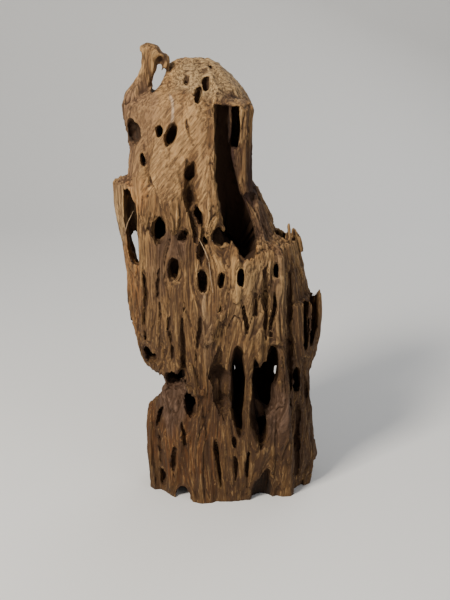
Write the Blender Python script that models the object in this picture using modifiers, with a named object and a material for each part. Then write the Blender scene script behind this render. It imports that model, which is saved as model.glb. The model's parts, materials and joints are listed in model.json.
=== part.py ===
"""A weathered, hollow piece of aquarium driftwood that stands on its broken lower end.

The trunk is one grown piece, so it is one object. It is lofted through sections up its height, flakes and
spikes are joined to it, and rot chambers, holes and splits are cut from it along the grain. The ridged
surface comes from a noise that is stretched along the grain.

Lengths below are in millimetres. X runs to the right, Y to the back and Z up, and the origin is on the
ground under the middle of the trunk.
"""

import math

import bmesh
import bpy
import numpy as np
from mathutils import Matrix, Vector, noise

MM = 0.001

# Driving dimensions
TRUNK_SIDES = 72
TRUNK_RING_STEP = 8.0
TUNNEL_SIDES = 14
TUNNEL_RING_STEP = 12.0
TUNNEL_WANDER = 0.18
TUNNEL_WANDER_LENGTH = 35.0
SPLIT_SIDES = 8
SPLIT_RING_STEP = 6.0
SPLIT_END = 0.03
SPLIT_SWELL = 0.7
SPLIT_SWELL_LENGTH = 14.0
SPLIT_STRAY = 2.5
SPLIT_STRAY_LENGTH = 22.0
EGG_SEGMENTS = 14
EGG_RINGS = 9
EGG_WANDER = 0.22
EGG_WANDER_ACROSS = 1.6
EGG_WANDER_DEEP = 0.4
COLUMN_COUNT = 3.2
COLUMN_LENGTH = 170.0
COLUMN_DEPTH = 6.0

REMESH_SIZE = 2.2
GRAIN_WIDTH = 13.0
GRAIN_LENGTH = 120.0
GRAIN_DEPTH = 4.2
GRAIN_LEVEL = 0.3
GRAIN_TILT = (2.0, 4.0)
GRAIN_START = (370.0, 110.0, 50.0)
SMOOTH_FACE = (-82, -6, 262, 352)
SMOOTH_FACE_GRAIN = 0.35
GROUND_WIDTH = 300.0
GROUND_THICKNESS = 60.0
FOOT_FADE = 8.0
MOST_TRIANGLES = 9400

WOOD_COLOUR = (0.33, 0.20, 0.10, 1.0)
WOOD_ROUGHNESS = 0.85

# The trunk's outline, upwards: height, left, right, front, back, x of the foremost ridge, squareness.
# A squareness of 2 is an ellipse, less is more like a diamond and more is more like a box.
TRUNK_SECTIONS = [
    (0, -62, 80, -50, 48, -6, 2.0),
    (28, -66, 92, -51, 52, -4, 2.0),
    (50, -67, 88, -52, 53, 0, 2.0),
    (83, -65, 83, -53, 54, 4, 2.0),
    (110, -65, 82, -54, 55, 8, 2.0),
    (135, -75, 90, -54, 56, 12, 1.9),
    (160, -81, 91, -54, 56, 16, 1.9),
    (180, -82, 89, -54, 55, 18, 1.9),
    (184, -82, 80, -54, 55, 18, 1.9),
    (206, -83, 75, -53, 54, 18, 1.9),
    (231, -86, 69, -51, 50, 12, 1.9),
    (240, -88, 52, -50, 49, 4, 1.8),
    (268, -92, 39, -49, 46, -4, 1.8),
    (284, -93, 30, -49, 44, -6, 1.7),
    (289, -80, 29, -48, 44, -6, 1.7),
    (311, -76, 29, -46, 42, -6, 1.7),
    (330, -79, 29, -44, 41, -6, 1.7),
    (342, -81, 29, -41, 40, -6, 1.8),
    (350, -79, 28.5, -37, 39, -7, 1.9),
    (358, -70, 24, -31, 38, -8, 2.0),
    (366, -56, 18, -22, 36, -10, 2.1),
    (375, -48, 9, -9, 34, -14, 2.3),
    (382, -43, 1, 3, 32, -17, 2.5),
    (387, -36, -8, 12, 28, -18, 2.4),
]

# Upright forms are lists of stations: height, x, y, half width, half depth.
GROWTHS = {
    "horn limb": [(318, -67, 2, 11, 16), (340, -71, 4, 12, 15), (350, -72, 4, 11.5, 14),
                  (358, -70, 4, 10.8, 12), (366, -66, 4, 9.4, 9.5), (373, -62, 4, 8, 8.5),
                  (380, -59.5, 4, 7.4, 8), (386, -58.5, 4, 8, 8), (392, -57, 4, 7.4, 7.4)],
    "crown brow": [(280, 16, -26, 13, 12), (330, 14, -28, 15, 13), (349, 12.5, -29, 16.5, 14),
                   (353, 12, -27, 15, 13), (357, 10, -22, 12, 9)],
    "left tongue": [(332, -45, -27, 8, 5), (300, -43, -36, 15, 8), (280, -39, -40, 13, 9),
                    (262, -38, -42, 9, 9.5), (252, -38, -43, 4.5, 8), (247, -38, -43, 1.5, 4)],
    "left curtain": [(326, -63, -17, 6, 5), (292, -64, -26, 9, 8), (262, -63, -29, 6, 9),
                     (246, -61.5, -29, 2.5, 6)],
    "right tongue": [(340, -9, -34, 4, 6), (308, -9, -42, 9, 9), (280, -8, -46, 11, 10),
                     (262, -7, -48, 10.5, 9), (252, -7, -49, 6.5, 8), (245, -7, -49, 2, 4)],
    "throat column": [(190, 16, -51, 5, 7), (225, 14, -51, 5, 7), (243, 13, -50, 4.5, 6),
                      (250, 13.5, -50, 2, 3)],
    "channel column": [(190, 24, -48, 6, 8), (222, 23, -46, 5, 8), (232, 21.5, -45, 3, 6),
                       (238, 21, -44, 1.2, 3)],
    "right plate": [(200, 40, -24, 6, 14), (232, 38, -22, 5.5, 18), (262, 32, -16, 5, 18),
                    (276, 29, -12, 4, 16), (284, 27, -8, 1.8, 8)],
    "shelf spike near": [(222, 50, 8, 6, 6), (236, 50, 9, 3.5, 4), (245, 50.5, 9, 1, 1.5)],
    "shelf spike tall": [(222, 61, -10, 6, 8), (236, 60.5, -10, 4, 5), (248, 60.5, -10, 1.3, 1.5)],
    "shelf spike far": [(222, 68, 2, 7, 10), (233, 68, 2, 5, 8), (241, 66.5, 2, 1.5, 2.5)],
    "round column": [(150, 51, -44, 6, 9), (200, 51, -40, 7, 9), (226, 50, -35, 6.5, 8),
                     (236, 50, -32, 3, 4)],
    "right flake": [(128, 85, 2, 4, 10), (145, 89, 0, 3.2, 14), (168, 89.5, 0, 2.8, 12),
                    (181, 89.5, 0, 2, 8), (187, 89.5, -2, 0.8, 2)],
    "lower left flake": [(-4, -58, -14, 7, 14), (30, -62, -13, 6, 14), (60, -62, -13, 6, 13),
                         (76, -61.5, -13, 4.6, 9), (84, -61.5, -13, 2.6, 5)],
    "front foot": [(-4, -13, -46, 12, 7), (30, -15, -46, 13, 9), (62, -17, -46, 9, 9),
                   (84, -18, -46, 5, 8), (112, -20, -45, 4, 8), (132, -26, -46, 3, 6)],
    "right front foot": [(-4, 60, -34, 9, 6), (40, 58, -36, 10, 10), (100, 56, -40, 8, 8),
                         (160, 52, -42, 5, 6)],
    "right bulge": [(-4, 80, 8, 8, 26), (30, 83, 8, 7.5, 28), (60, 80, 8, 6, 20), (80, 76, 6, 4, 12)],
}

# Lumps and pockets are uneven egg shapes: x, y, height, half width, half depth, half height, lean and dip in
# degrees. The lean turns the top to the right, and the dip lowers the back end.
LUMPS = {
    "horn head": (-57, 4, 392.2, 10, 7.5, 7.8, 20, 0),
    "horn brow": (-50, 4, 388.5, 7, 7, 6, 20, 0),
    "horn beak": (-44.8, 4, 383, 3.6, 6, 8, 14, 0),
    "slot tongue": (34.6, -50, 152, 4, 6, 18, 0, 0),
    "curled lip": (-21, -50, 109, 9, 6, 4.5, 24, 0),
    "diagonal swelling": (-3, -52, 168, 6, 6, 24, 28, 0),
    "knot": (-29, -46, 62, 6, 5, 6, 0, 0),
}

CHAMBERS = {
    "top chamber": [(358, -18, 6, 7, 8), (344, -18, 6, 13, 14), (318, -22, 5, 12, 15),
                    (290, -28, 4, 9, 13)],
    "upper chamber": [(342, -46, 2, 9, 12), (322, -47, 2, 17, 17), (295, -44, 2, 17, 20),
                      (262, -47, 0, 17, 25), (232, -47, 0, 14, 27)],
    "left chamber": [(252, -46, 0, 11, 20), (205, -45, 0, 15, 25), (150, -44, 0, 16, 27),
                     (118, -42, 2, 16, 27)],
    "middle chamber": [(250, -3, 2, 9, 20), (215, 0, 0, 14, 30), (160, 4, 0, 16, 32), (110, 6, 0, 16, 33),
                       (60, 4, 0, 14, 31), (-6, 0, 0, 13, 28)],
    "right chamber": [(262, 53, 2, 5, 10), (234, 53, 2, 9, 18), (200, 47, 0, 14, 27), (150, 45, 0, 16, 30),
                      (100, 45, 0, 16.5, 32), (50, 44, 0, 15, 30), (-6, 45, 0, 14, 28)],
    "lower left chamber": [(122, -36, 4, 10, 24), (98, -35, 6, 14, 26), (55, -37, 5, 13, 26),
                           (-6, -36, 4, 12, 24)],
    "front channel": [(352.5, 2.4, -44, 6.4, 28), (325, 3, -44, 7.4, 36), (296, 5, -40, 9.8, 42),
                      (268, 12.4, -36, 13, 44), (248, 18, -32, 14, 42), (232, 23, -28, 10, 34),
                      (222, 26, -24, 4, 18)],
    "side channel": [(352.5, 13.4, -36, 3.8, 30), (332, 13.6, -34, 4.2, 30), (317, 13.4, -32, 3.2, 24)],
    "flake gap": [(281, -78, -26, 3, 18), (268, -76, -26, 6, 19), (252, -75, -24, 6.4, 20),
                  (240, -74.6, -24, 5.8, 26), (227, -74, 0, 5.4, 80), (215, -71.5, 0, 3.6, 70)],
    "flake back gap": [(238, -74.6, 20, 3.0, 40), (231, -74, 24, 5.4, 44), (214, -71.5, 26, 4.6, 44),
                       (200, -69, 28, 2, 30)],
    "left undercut": [(124, -46, -56, 8, 16), (112, -46, -58, 18, 26), (96, -46, -58, 21, 27),
                      (82, -44, -60, 16, 24), (76, -42, -62, 8, 14)],
    "right flake gap": [(192, 85, -8, 3.6, 34), (172, 84.5, -10, 4.6, 26), (152, 83, -12, 4.2, 22),
                        (138, 81, -12, 2, 14)],
    "right slit": [(182, 76, -22, 2.4, 16), (160, 76.5, -22, 3, 18), (138, 76, -22, 2, 12)],
}

POCKETS = {
    "horn eye": (-51, 4, 369.5, 2.8, 40, 12, 30, 0),
    "horn hollow": (-49.5, -5, 384.5, 4.8, 7, 6, 10, 0),
    "left edge notch": (-72, -18, 328, 7, 17, 11, -14, 0),
    "left edge bite": (-85, 0, 322, 8, 60, 10, 0, 0),
    "small upper hole": (-49.3, -34, 331.4, 3.0, 24, 5.0, 4, 8),
    "large upper hole": (-39.2, -38, 329, 4.6, 26, 10.5, 18, 8),
    "upper slit": (-63, -24, 307, 1.6, 14, 6.5, -12, 0),
    "crown pit": (-26, -16, 374, 3.0, 8, 8, 10, -40),
    "crown hole low": (-17.5, -26, 359, 3.4, 10, 9, 20, -30),
    "crown hole high": (-11, -14, 367, 3.2, 9, 10, 10, -30),
    "crown back pit": (-12, 20, 385, 2.4, 5, 7, 0, 0),
    "crown side slit": (-6, 4, 377, 1.6, 5, 7, -20, 0),
    "fissure eye high": (-23.5, -44, 300, 4.6, 20, 8, 6, 20),
    "fissure eye low": (-16.5, -46, 263, 3.6, 24, 9, -16, 10),
    "lance hole": (-50.5, -36, 249, 6.5, 22, 11.5, 0, 10),
    "lance notch": (-30, -44, 246, 4, 12, 7, 20, 10),
    "round hole": (-38.5, -44, 215.5, 4.8, 24, 10.5, 2, 8),
    "broad hole": (-13.5, -50, 207, 5.0, 26, 11, -6, 8),
    "short hole": (3.2, -52, 208.5, 3.0, 26, 7.5, 8, 8),
    "tall hole": (18.4, -52, 211, 2.9, 30, 10, 0, 8),
    "throat": (2, -48, 246, 7, 26, 9, -34, 10),
    "throat side hole": (-11.5, -50, 242, 2.0, 20, 4.5, -12, 0),
    "right hole": (48.5, -42, 214, 2.8, 24, 7.5, 0, 8),
    "low left notch": (-62, -22, 131, 6.5, 24, 8, -30, 0),
    "left bite": (-80, 0, 91, 33, 110, 20, -16, 22),
    "arch": (-41, -40, 113, 9, 26, 10, 0, 0),
    "arch tooth gap": (-52, -34, 110, 4, 20, 7, 20, 0),
    "left sight hole": (-33.5, 0, 105, 2.6, 90, 6.2, 0, 21),
    "tooth side hole": (-25.5, -44, 94, 5.2, 34, 13.5, -4, 0),
    "front slot": (16.3, -56, 112, 7, 38, 36, 0, 8),
    "front slot foot": (17.6, -54, 84, 3.8, 34, 18, -4, 0),
    "wide slot": (39.5, -54, 105, 12.5, 36, 30, 4, 8),
    "wide slot near lobe": (30.8, -54, 120, 4, 34, 19, 0, 8),
    "wide slot far lobe": (46, -54, 126, 7.8, 36, 25, 3, 8),
    "wide slot side": (34.5, -54, 94, 7.5, 32, 34, 0, 0),
    "wide slot foot": (38, -54, 68, 4.4, 30, 20, 2, 0),
    "right plane": (51.5, -55, 86, 8.5, 11, 30, 2, 0),
    "right eye": (69, -28, 110, 4.0, 34, 11.5, 0, 21),
    "slot sight hole": (12.8, 45, 95, 2.6, 26, 5, 0, 21),
    "wide slot sight hole": (54, 40, 94, 2.8, 26, 6, 0, 21),
    "channel throat": (19, -22, 240, 12, 34, 17, -16, 0),
    "pin hole": (-7.9, -54, 121, 1.5, 20, 2.2, 0, 0),
    "foot arch": (39, -48, 3, 10.5, 15.5, 28, 8, 0),
    "left foot arch": (-33, -42, 0, 7, 26, 10, 0, 0),
    "lower flake gap": (-53.5, -30, 74, 2.2, 18, 14, 12, 0),
    "lower flake slit": (-52, -32, 14, 2.6, 14, 10, -4, 0),
    "back slot": (-20, 50, 164, 7, 26, 34, 4, 0),
    "back wide slot": (38, 50, 176, 8, 26, 34, -5, 0),
    "back high hole": (-30, 42, 300, 6, 22, 15, 8, 0),
    "back small hole": (8, 44, 262, 4.5, 22, 10, 0, 0),
    "back low hole": (-50, 44, 40, 7, 26, 15, 0, 0),
    "back eye": (14, 50, 214, 4.5, 24, 11, -8, 0),
    "back foot arch": (4, 50, 0, 15, 30, 20, 0, 0),
    "right side hole": (84, 20, 104, 20, 6, 16, 0, 0),
    "right side foot": (84, 4, 0, 20, 13, 14, 0, 0),
    "left side hole": (-84, 16, 170, 24, 6, 17, 0, 0),
    "left side foot": (-62, 12, 0, 18, 12, 12, 0, 0),
}

# Splits follow the face of the wood: face, x and height at the top, the same at the foot, half width, half
# depth.
SPLITS = [
    ("front", -27, 313, -20, 236, 5.4, 15),
    ("front", -1, 150, 4, 78, 7.5, 15),
    ("front", -15, 258, -14, 214, 3.0, 9),
    ("front", 38, 226, 41, 150, 3.0, 10),
    ("front", 60, 232, 63, 60, 3.2, 10),
    ("front", 47, 204, 46, 152, 2.0, 8),
    ("front", -66, 240, -64, 132, 1.8, 6),
    ("front", -53, 232, -50, 120, 1.5, 5),
    ("front", -31, 202, -31, 92, 1.9, 8),
    ("front", -43, 196, -42, 118, 1.5, 5),
    ("front", -14, 192, -22, 118, 1.8, 6),
    ("front", 3, 196, -6, 150, 1.7, 6),
    ("front", 18, 196, 28, 150, 1.9, 6),
    ("front", 31, 214, 31, 160, 1.6, 5),
    ("front", -5, 76, 4, 2, 2.6, 11),
    ("front", 14, 78, 15, 6, 1.7, 6),
    ("front", 24, 72, 25, 4, 2.0, 7),
    ("front", 69, 96, 72, 6, 3.0, 10),
    ("front", -32, 84, -31, 40, 2.0, 8),
    ("front", -40, 60, -42, 10, 2.0, 6),
    ("front", -54, 64, -53, 20, 1.8, 6),
    ("front", -30, 350, -15, 306, 1.6, 3),
    ("front", 76, 130, 80, 70, 2.4, 8),
    ("back", -50, 330, -44, 190, 4.0, 9),
    ("back", -10, 350, -4, 270, 3.6, 9),
    ("back", 10, 330, 12, 276, 3.0, 8),
    ("back", 50, 210, 52, 60, 4.0, 10),
    ("back", -4, 130, 0, 30, 3.6, 9),
    ("back", -62, 140, -54, 30, 3.4, 9),
    ("back", 26, 190, 26, 140, 3.0, 8),
    ("back", -22, 270, -18, 200, 3.6, 9),
    ("back", -64, 280, -66, 190, 3.0, 8),
    ("back", 70, 180, 72, 60, 3.4, 9),
]


def clear_scene():
    """Takes every object out of the scene."""
    for obj in list(bpy.data.objects):
        bpy.data.objects.remove(obj, do_unlink=True)


def new_collection(name):
    """A new collection in the scene."""
    collection = bpy.data.collections.new(name)
    bpy.context.scene.collection.children.link(collection)
    return collection


def add_object(name, mesh_data, collection):
    """Turns a bmesh in millimetres into an object in metres."""
    bmesh.ops.scale(mesh_data, vec=(MM, MM, MM), verts=mesh_data.verts)
    bmesh.ops.recalc_face_normals(mesh_data, faces=mesh_data.faces)
    mesh = bpy.data.meshes.new(name)
    mesh_data.to_mesh(mesh)
    mesh_data.free()
    obj = bpy.data.objects.new(name, mesh)
    collection.objects.link(obj)
    return obj


def add_helper(name, mesh_data, collection):
    """An object that a Boolean reads and the build leaves out."""
    obj = add_object(name, mesh_data, collection)
    obj.hide_render = True
    obj.display_type = "WIRE"
    return obj


def loft(rings):
    """A closed bmesh through rings of equally many points."""
    mesh_data = bmesh.new()
    loops = []
    for ring in rings:
        verts = bmesh.ops.create_circle(mesh_data, segments=len(ring), radius=1.0)["verts"]
        for vert, point in zip(verts, ring):
            vert.co = point
        loops.append(list({edge for vert in verts for edge in vert.link_edges}))
    for lower, upper in zip(loops, loops[1:]):
        bmesh.ops.bridge_loops(mesh_data, edges=lower + upper)
    bmesh.ops.holes_fill(mesh_data, edges=loops[0] + loops[-1], sides=0)
    bmesh.ops.triangulate(mesh_data, faces=[face for face in mesh_data.faces if len(face.verts) > 4])
    return mesh_data


def ring_heights(stations, step):
    """The stations' heights and as many between them as keep the rings about a step apart."""
    heights = [stations[0][0]]
    for lower, upper in zip(stations, stations[1:]):
        count = max(1, round((upper[0] - lower[0]) / step))
        heights.extend(np.linspace(lower[0], upper[0], count + 1)[1:])
    return heights


def interpolated(stations, heights):
    """The stations' values at other heights, one row for each."""
    table = np.array(sorted(stations), float)
    columns = [np.interp(heights, table[:, 0], column) for column in table[:, 1:].T]
    return np.array(columns).T


def superellipse(angle, squareness):
    """The point at an angle on a superellipse of radius 1."""
    cosine, sine = math.cos(angle), math.sin(angle)
    power = 2.0 / squareness
    return math.copysign(abs(cosine) ** power, cosine), math.copysign(abs(sine) ** power, sine)


def section_ring(height, left, right, front, back, ridge, squareness):
    """The trunk's outline at one height, with the columns that run up it."""
    middle, half_depth = (front + back) / 2, (back - front) / 2
    ring = []
    for step in range(TRUNK_SIDES):
        angle = 2 * math.pi * step / TRUNK_SIDES
        across, along = superellipse(angle, squareness)
        reach = right - ridge if across > 0 else ridge - left
        column = noise.noise(
            Vector((COLUMN_COUNT * math.cos(angle), COLUMN_COUNT * math.sin(angle), height / COLUMN_LENGTH))
        )
        swell = 1 + COLUMN_DEPTH / half_depth * column * abs(math.sin(angle))
        ring.append(Vector((ridge + reach * across, middle + half_depth * along * swell, height)))
    return ring


def trunk_mesh():
    """The outside of the trunk before anything is cut from it."""
    heights = ring_heights(TRUNK_SECTIONS, TRUNK_RING_STEP)
    rows = interpolated(TRUNK_SECTIONS, heights)
    return loft([section_ring(height, *row) for height, row in zip(heights, rows)])


def face_depth(face, x, height):
    """The y of the trunk's front or back face at a place."""
    left, right, front, back, ridge, squareness = interpolated(TRUNK_SECTIONS, [height])[0]
    reach = right - ridge if x > ridge else ridge - left
    share = min(abs(x - ridge) / reach, 0.98)
    along = (1 - share**squareness) ** (1 / squareness)
    middle, half_depth = (front + back) / 2, (back - front) / 2
    return middle + half_depth * (along if face == "back" else -along)


def tunnel_mesh(stations):
    """An upright form of elliptical sections that wander a little, as rot does."""
    stations = sorted(stations)
    heights = ring_heights(stations, TUNNEL_RING_STEP)
    rings = []
    for height, (x, y, half_width, half_depth) in zip(heights, interpolated(stations, heights)):
        ring = []
        for step in range(TUNNEL_SIDES):
            angle = 2 * math.pi * step / TUNNEL_SIDES
            place = Vector((2 * math.cos(angle) + x, 2 * math.sin(angle), height / TUNNEL_WANDER_LENGTH))
            wander = 1 + TUNNEL_WANDER * noise.noise(place)
            across = half_width * wander * math.cos(angle)
            deep = half_depth * wander * math.sin(angle)
            ring.append(Vector((x + across, y + deep, height)))
        rings.append(ring)
    return loft(rings)


def split_mesh(face, top_x, top, foot_x, foot, half_width, half_depth):
    """A narrow split that follows the trunk's face and tapers to both ends."""
    heights = np.linspace(foot, top, max(5, round((top - foot) / SPLIT_RING_STEP)))
    rings = []
    for height in heights:
        share = (height - foot) / (top - foot)
        swell = math.sin(math.pi * (SPLIT_END + (1 - 2 * SPLIT_END) * share))
        swell *= 1 + SPLIT_SWELL * noise.noise(Vector((foot_x, half_width, height / SPLIT_SWELL_LENGTH)))
        stray = SPLIT_STRAY * noise.noise(Vector((foot_x, half_width, height / SPLIT_STRAY_LENGTH)))
        x = foot_x + (top_x - foot_x) * share + stray
        y = face_depth(face, x, height)
        ring = []
        for step in range(SPLIT_SIDES):
            angle = 2 * math.pi * step / SPLIT_SIDES
            across = half_width * swell * math.cos(angle)
            deep = half_depth * swell * math.sin(angle)
            ring.append(Vector((x + across, y + deep, height)))
        rings.append(ring)
    return loft(rings)


def egg_mesh(x, y, height, half_width, half_depth, half_height, lean, dip):
    """An uneven egg shape for a lump or a hole."""
    mesh_data = bmesh.new()
    bmesh.ops.create_uvsphere(mesh_data, u_segments=EGG_SEGMENTS, v_segments=EGG_RINGS, radius=1.0)
    for vert in mesh_data.verts:
        around = Vector(
            (
                EGG_WANDER_ACROSS * vert.co.x + x,
                EGG_WANDER_DEEP * vert.co.y,
                EGG_WANDER_ACROSS * vert.co.z + height,
            )
        )
        vert.co *= 1 + EGG_WANDER * noise.noise(around)
    place = (
        Matrix.Translation((x, y, height))
        @ Matrix.Rotation(math.radians(-dip), 4, "X")
        @ Matrix.Rotation(math.radians(lean), 4, "Y")
        @ Matrix.Diagonal((half_width, half_depth, half_height, 1))
    )
    bmesh.ops.transform(mesh_data, matrix=place, verts=mesh_data.verts)
    return mesh_data


def ground_mesh():
    """The block under the trunk that trims its feet to one level."""
    mesh_data = bmesh.new()
    bmesh.ops.create_cube(mesh_data, size=1.0)
    place = Matrix.Translation((0, 0, -GROUND_THICKNESS / 2)) @ Matrix.Diagonal(
        (GROUND_WIDTH, GROUND_WIDTH, GROUND_THICKNESS, 1)
    )
    bmesh.ops.transform(mesh_data, matrix=place, verts=mesh_data.verts)
    return mesh_data


def grain_texture():
    """A ridged noise for the weathered grain."""
    texture = bpy.data.textures.new("weathered grain", "MUSGRAVE")
    texture.musgrave_type = "RIDGED_MULTIFRACTAL"
    texture.noise_scale = 1.0
    texture.octaves = 2.0
    texture.dimension_max = 1.0
    texture.lacunarity = 2.1
    texture.offset = 0.9
    texture.gain = 1.2
    texture.noise_intensity = 0.45
    return texture


def grain_space(collection):
    """An empty whose scale stretches the grain along the trunk."""
    empty = bpy.data.objects.new("grain space", None)
    empty.scale = (GRAIN_WIDTH * MM, GRAIN_WIDTH * MM, GRAIN_LENGTH * MM)
    empty.rotation_euler = (math.radians(GRAIN_TILT[0]), math.radians(GRAIN_TILT[1]), 0)
    empty.location = Vector(GRAIN_START) * MM
    collection.objects.link(empty)
    return empty


def ease(value, low, high):
    """0 below the low value, 1 above the high one and a smooth climb between them."""
    share = np.clip((value - low) / (high - low), 0.0, 1.0)
    return share * share * (3 - 2 * share)


def grain_group(obj):
    """How deep the grain goes at each vertex: less on the smooth upper face and none at the ground."""
    points = np.array([vert.co for vert in obj.data.vertices]) / MM
    left, right, low, high = SMOOTH_FACE
    x, y, height = points.T
    smooth = ease(x, left, left + 10) * (1 - ease(x, right - 8, right))
    smooth *= ease(height, low, low + 25) * (1 - ease(height, high, high + 12)) * (1 - ease(y, -20, -5))
    depth = (1 - (1 - SMOOTH_FACE_GRAIN) * smooth) * ease(height, 0, FOOT_FADE)
    group = obj.vertex_groups.new(name="grain depth")
    for index, weight in enumerate(depth):
        group.add([index], float(weight), "REPLACE")
    return group


def wood_material():
    """Dull brown weathered wood."""
    material = bpy.data.materials.new("weathered wood")
    material.use_nodes = True
    shader = material.node_tree.nodes["Principled BSDF"]
    shader.inputs["Base Color"].default_value = WOOD_COLOUR
    shader.inputs["Roughness"].default_value = WOOD_ROUGHNESS
    shader.inputs["Metallic"].default_value = 0.0
    return material


def add_boolean(obj, name, operation, collection):
    """Joins or cuts everything in a collection, in one exact Boolean."""
    modifier = obj.modifiers.new(name, "BOOLEAN")
    modifier.operation = operation
    modifier.operand_type = "COLLECTION"
    modifier.collection = collection
    modifier.solver = "EXACT"


def body_of(vert):
    """Every vertex that edges join to this one."""
    body, open_verts = {vert}, [vert]
    while open_verts:
        for edge in open_verts.pop().link_edges:
            for other in edge.verts:
                if other not in body:
                    body.add(other)
                    open_verts.append(other)
    return body


def settle(obj):
    """Puts the modifiers' result in the object's own mesh and drops the crumbs that cuts left loose."""
    depsgraph = bpy.context.evaluated_depsgraph_get()
    mesh = bpy.data.meshes.new_from_object(obj.evaluated_get(depsgraph))
    mesh_data = bmesh.new()
    mesh_data.from_mesh(mesh)
    left, bodies = set(mesh_data.verts), []
    while left:
        bodies.append(body_of(next(iter(left))))
        left -= bodies[-1]
    trunk_body = max(bodies, key=len)
    crumbs = [vert for vert in mesh_data.verts if vert not in trunk_body]
    bmesh.ops.delete(mesh_data, geom=crumbs, context="VERTS")
    mesh_data.to_mesh(mesh)
    mesh_data.free()
    obj.modifiers.clear()
    obj.data = mesh


def dress_trunk(trunk, additions, cutters, ground, helpers):
    """Turns the plain loft into weathered wood."""
    add_boolean(trunk, "join flakes", "UNION", additions)
    add_boolean(trunk, "rot and splits", "DIFFERENCE", cutters)
    remesh = trunk.modifiers.new("even mesh", "REMESH")
    remesh.mode = "VOXEL"
    remesh.voxel_size = REMESH_SIZE * MM
    settle(trunk)
    grain = trunk.modifiers.new("ridged grain", "DISPLACE")
    grain.texture = grain_texture()
    grain.texture_coords = "OBJECT"
    grain.texture_coords_object = grain_space(helpers)
    grain.strength = GRAIN_DEPTH * MM
    grain.mid_level = GRAIN_LEVEL
    grain.vertex_group = grain_group(trunk).name
    settle(trunk)
    thin = trunk.modifiers.new("fewer faces", "DECIMATE")
    thin.ratio = MOST_TRIANGLES / sum(len(face.vertices) - 2 for face in trunk.data.polygons)
    add_boolean(trunk, "level feet", "DIFFERENCE", ground)
    settle(trunk)


def main():
    """Builds the trunk and what shapes it."""
    clear_scene()
    wood = new_collection("driftwood")
    additions = new_collection("flakes and horn")
    cutters = new_collection("chambers, holes and splits")
    ground = new_collection("ground")
    helpers = new_collection("helpers")

    trunk = add_object("trunk", trunk_mesh(), wood)
    trunk.data.materials.append(wood_material())

    for name, stations in GROWTHS.items():
        add_helper(name, tunnel_mesh(stations), additions)
    for name, lump in LUMPS.items():
        add_helper(name, egg_mesh(*lump), additions)
    for name, stations in CHAMBERS.items():
        add_helper(name, tunnel_mesh(stations), cutters)
    for name, pocket in POCKETS.items():
        add_helper(name, egg_mesh(*pocket), cutters)
    for number, split in enumerate(SPLITS):
        add_helper(f"split {number}", split_mesh(*split), cutters)
    add_helper("ground block", ground_mesh(), ground)

    dress_trunk(trunk, additions, cutters, ground, helpers)


main()
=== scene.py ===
"""The looks of an upright driftwood trunk that has rotted hollow along its grain.

The trunk is built again from the sizes of its solid, finer, with torn fibre, open grain and its colours, and
thin pale splinters are laid over its front. Lengths are in millimetres, in the studio in metres. X runs
to the right, Y to the back and Z up the grain.
"""

import json
import logging
import math
from dataclasses import dataclass, field
from enum import Enum, IntEnum
from typing import Any, Iterable, Sequence

import bpy
import numpy as np
from mathutils import Euler, Matrix, Vector, noise

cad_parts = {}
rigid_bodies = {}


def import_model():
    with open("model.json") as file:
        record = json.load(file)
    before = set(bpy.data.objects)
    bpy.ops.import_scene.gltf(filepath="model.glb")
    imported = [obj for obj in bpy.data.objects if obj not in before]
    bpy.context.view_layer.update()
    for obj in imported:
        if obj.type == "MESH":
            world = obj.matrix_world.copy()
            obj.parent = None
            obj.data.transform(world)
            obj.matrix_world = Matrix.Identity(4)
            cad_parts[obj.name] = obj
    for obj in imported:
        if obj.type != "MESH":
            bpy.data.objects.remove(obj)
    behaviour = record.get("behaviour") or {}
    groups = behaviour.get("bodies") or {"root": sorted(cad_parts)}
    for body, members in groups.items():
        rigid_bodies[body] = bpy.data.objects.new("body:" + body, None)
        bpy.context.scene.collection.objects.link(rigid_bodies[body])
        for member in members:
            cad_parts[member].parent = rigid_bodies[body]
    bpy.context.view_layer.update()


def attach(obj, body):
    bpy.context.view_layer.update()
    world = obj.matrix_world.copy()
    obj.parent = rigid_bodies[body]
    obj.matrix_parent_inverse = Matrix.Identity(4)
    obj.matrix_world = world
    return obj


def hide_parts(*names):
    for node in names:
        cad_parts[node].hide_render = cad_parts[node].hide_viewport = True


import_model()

LOG = logging.getLogger("driftwood")
MM = 0.001
BODY = "root"

Points = np.ndarray
Station = tuple[float, ...]
Size = tuple[float, float, float]
Climb = tuple[float, float]

TRUNK_SIDES = 72
TRUNK_RING_STEP = 8.0
TUNNEL_SIDES = 14
TUNNEL_RING_STEP = 12.0
TUNNEL_WANDER = 0.18
TUNNEL_WANDER_LENGTH = 35.0
TUNNEL_WANDER_AROUND = 2.0
SPLIT_SIDES = 8
SPLIT_RING_STEP = 6.0
SPLIT_FEWEST_RINGS = 5
SPLIT_END = 0.03
SPLIT_SWELL = 0.7
SPLIT_SWELL_LENGTH = 14.0
SPLIT_STRAY = 2.5
SPLIT_STRAY_LENGTH = 22.0
EGG_SEGMENTS = 14
EGG_RINGS = 9
EGG_WANDER = 0.22
EGG_WANDER_ACROSS = 1.6
EGG_WANDER_DEEP = 0.4
COLUMN_COUNT = 3.2
COLUMN_LENGTH = 170.0
COLUMN_DEPTH = 6.0
FACE_EDGE = 0.98

GRAIN_WIDTH = 13.0
GRAIN_LENGTH = 120.0
GRAIN_DEPTH = 4.2
GRAIN_LEVEL = 0.3
GRAIN_TILT = (2.0, 4.0)
GRAIN_START = (370.0, 110.0, 50.0)
# The smooth upper face: its left, its right, its lower and its upper end.
SMOOTH_FACE = (-82, -6, 262, 352)
SMOOTH_FACE_GRAIN = 0.35
GROUND_WIDTH = 300.0
GROUND_THICKNESS = 60.0
FOOT_FADE = 8.0

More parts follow.
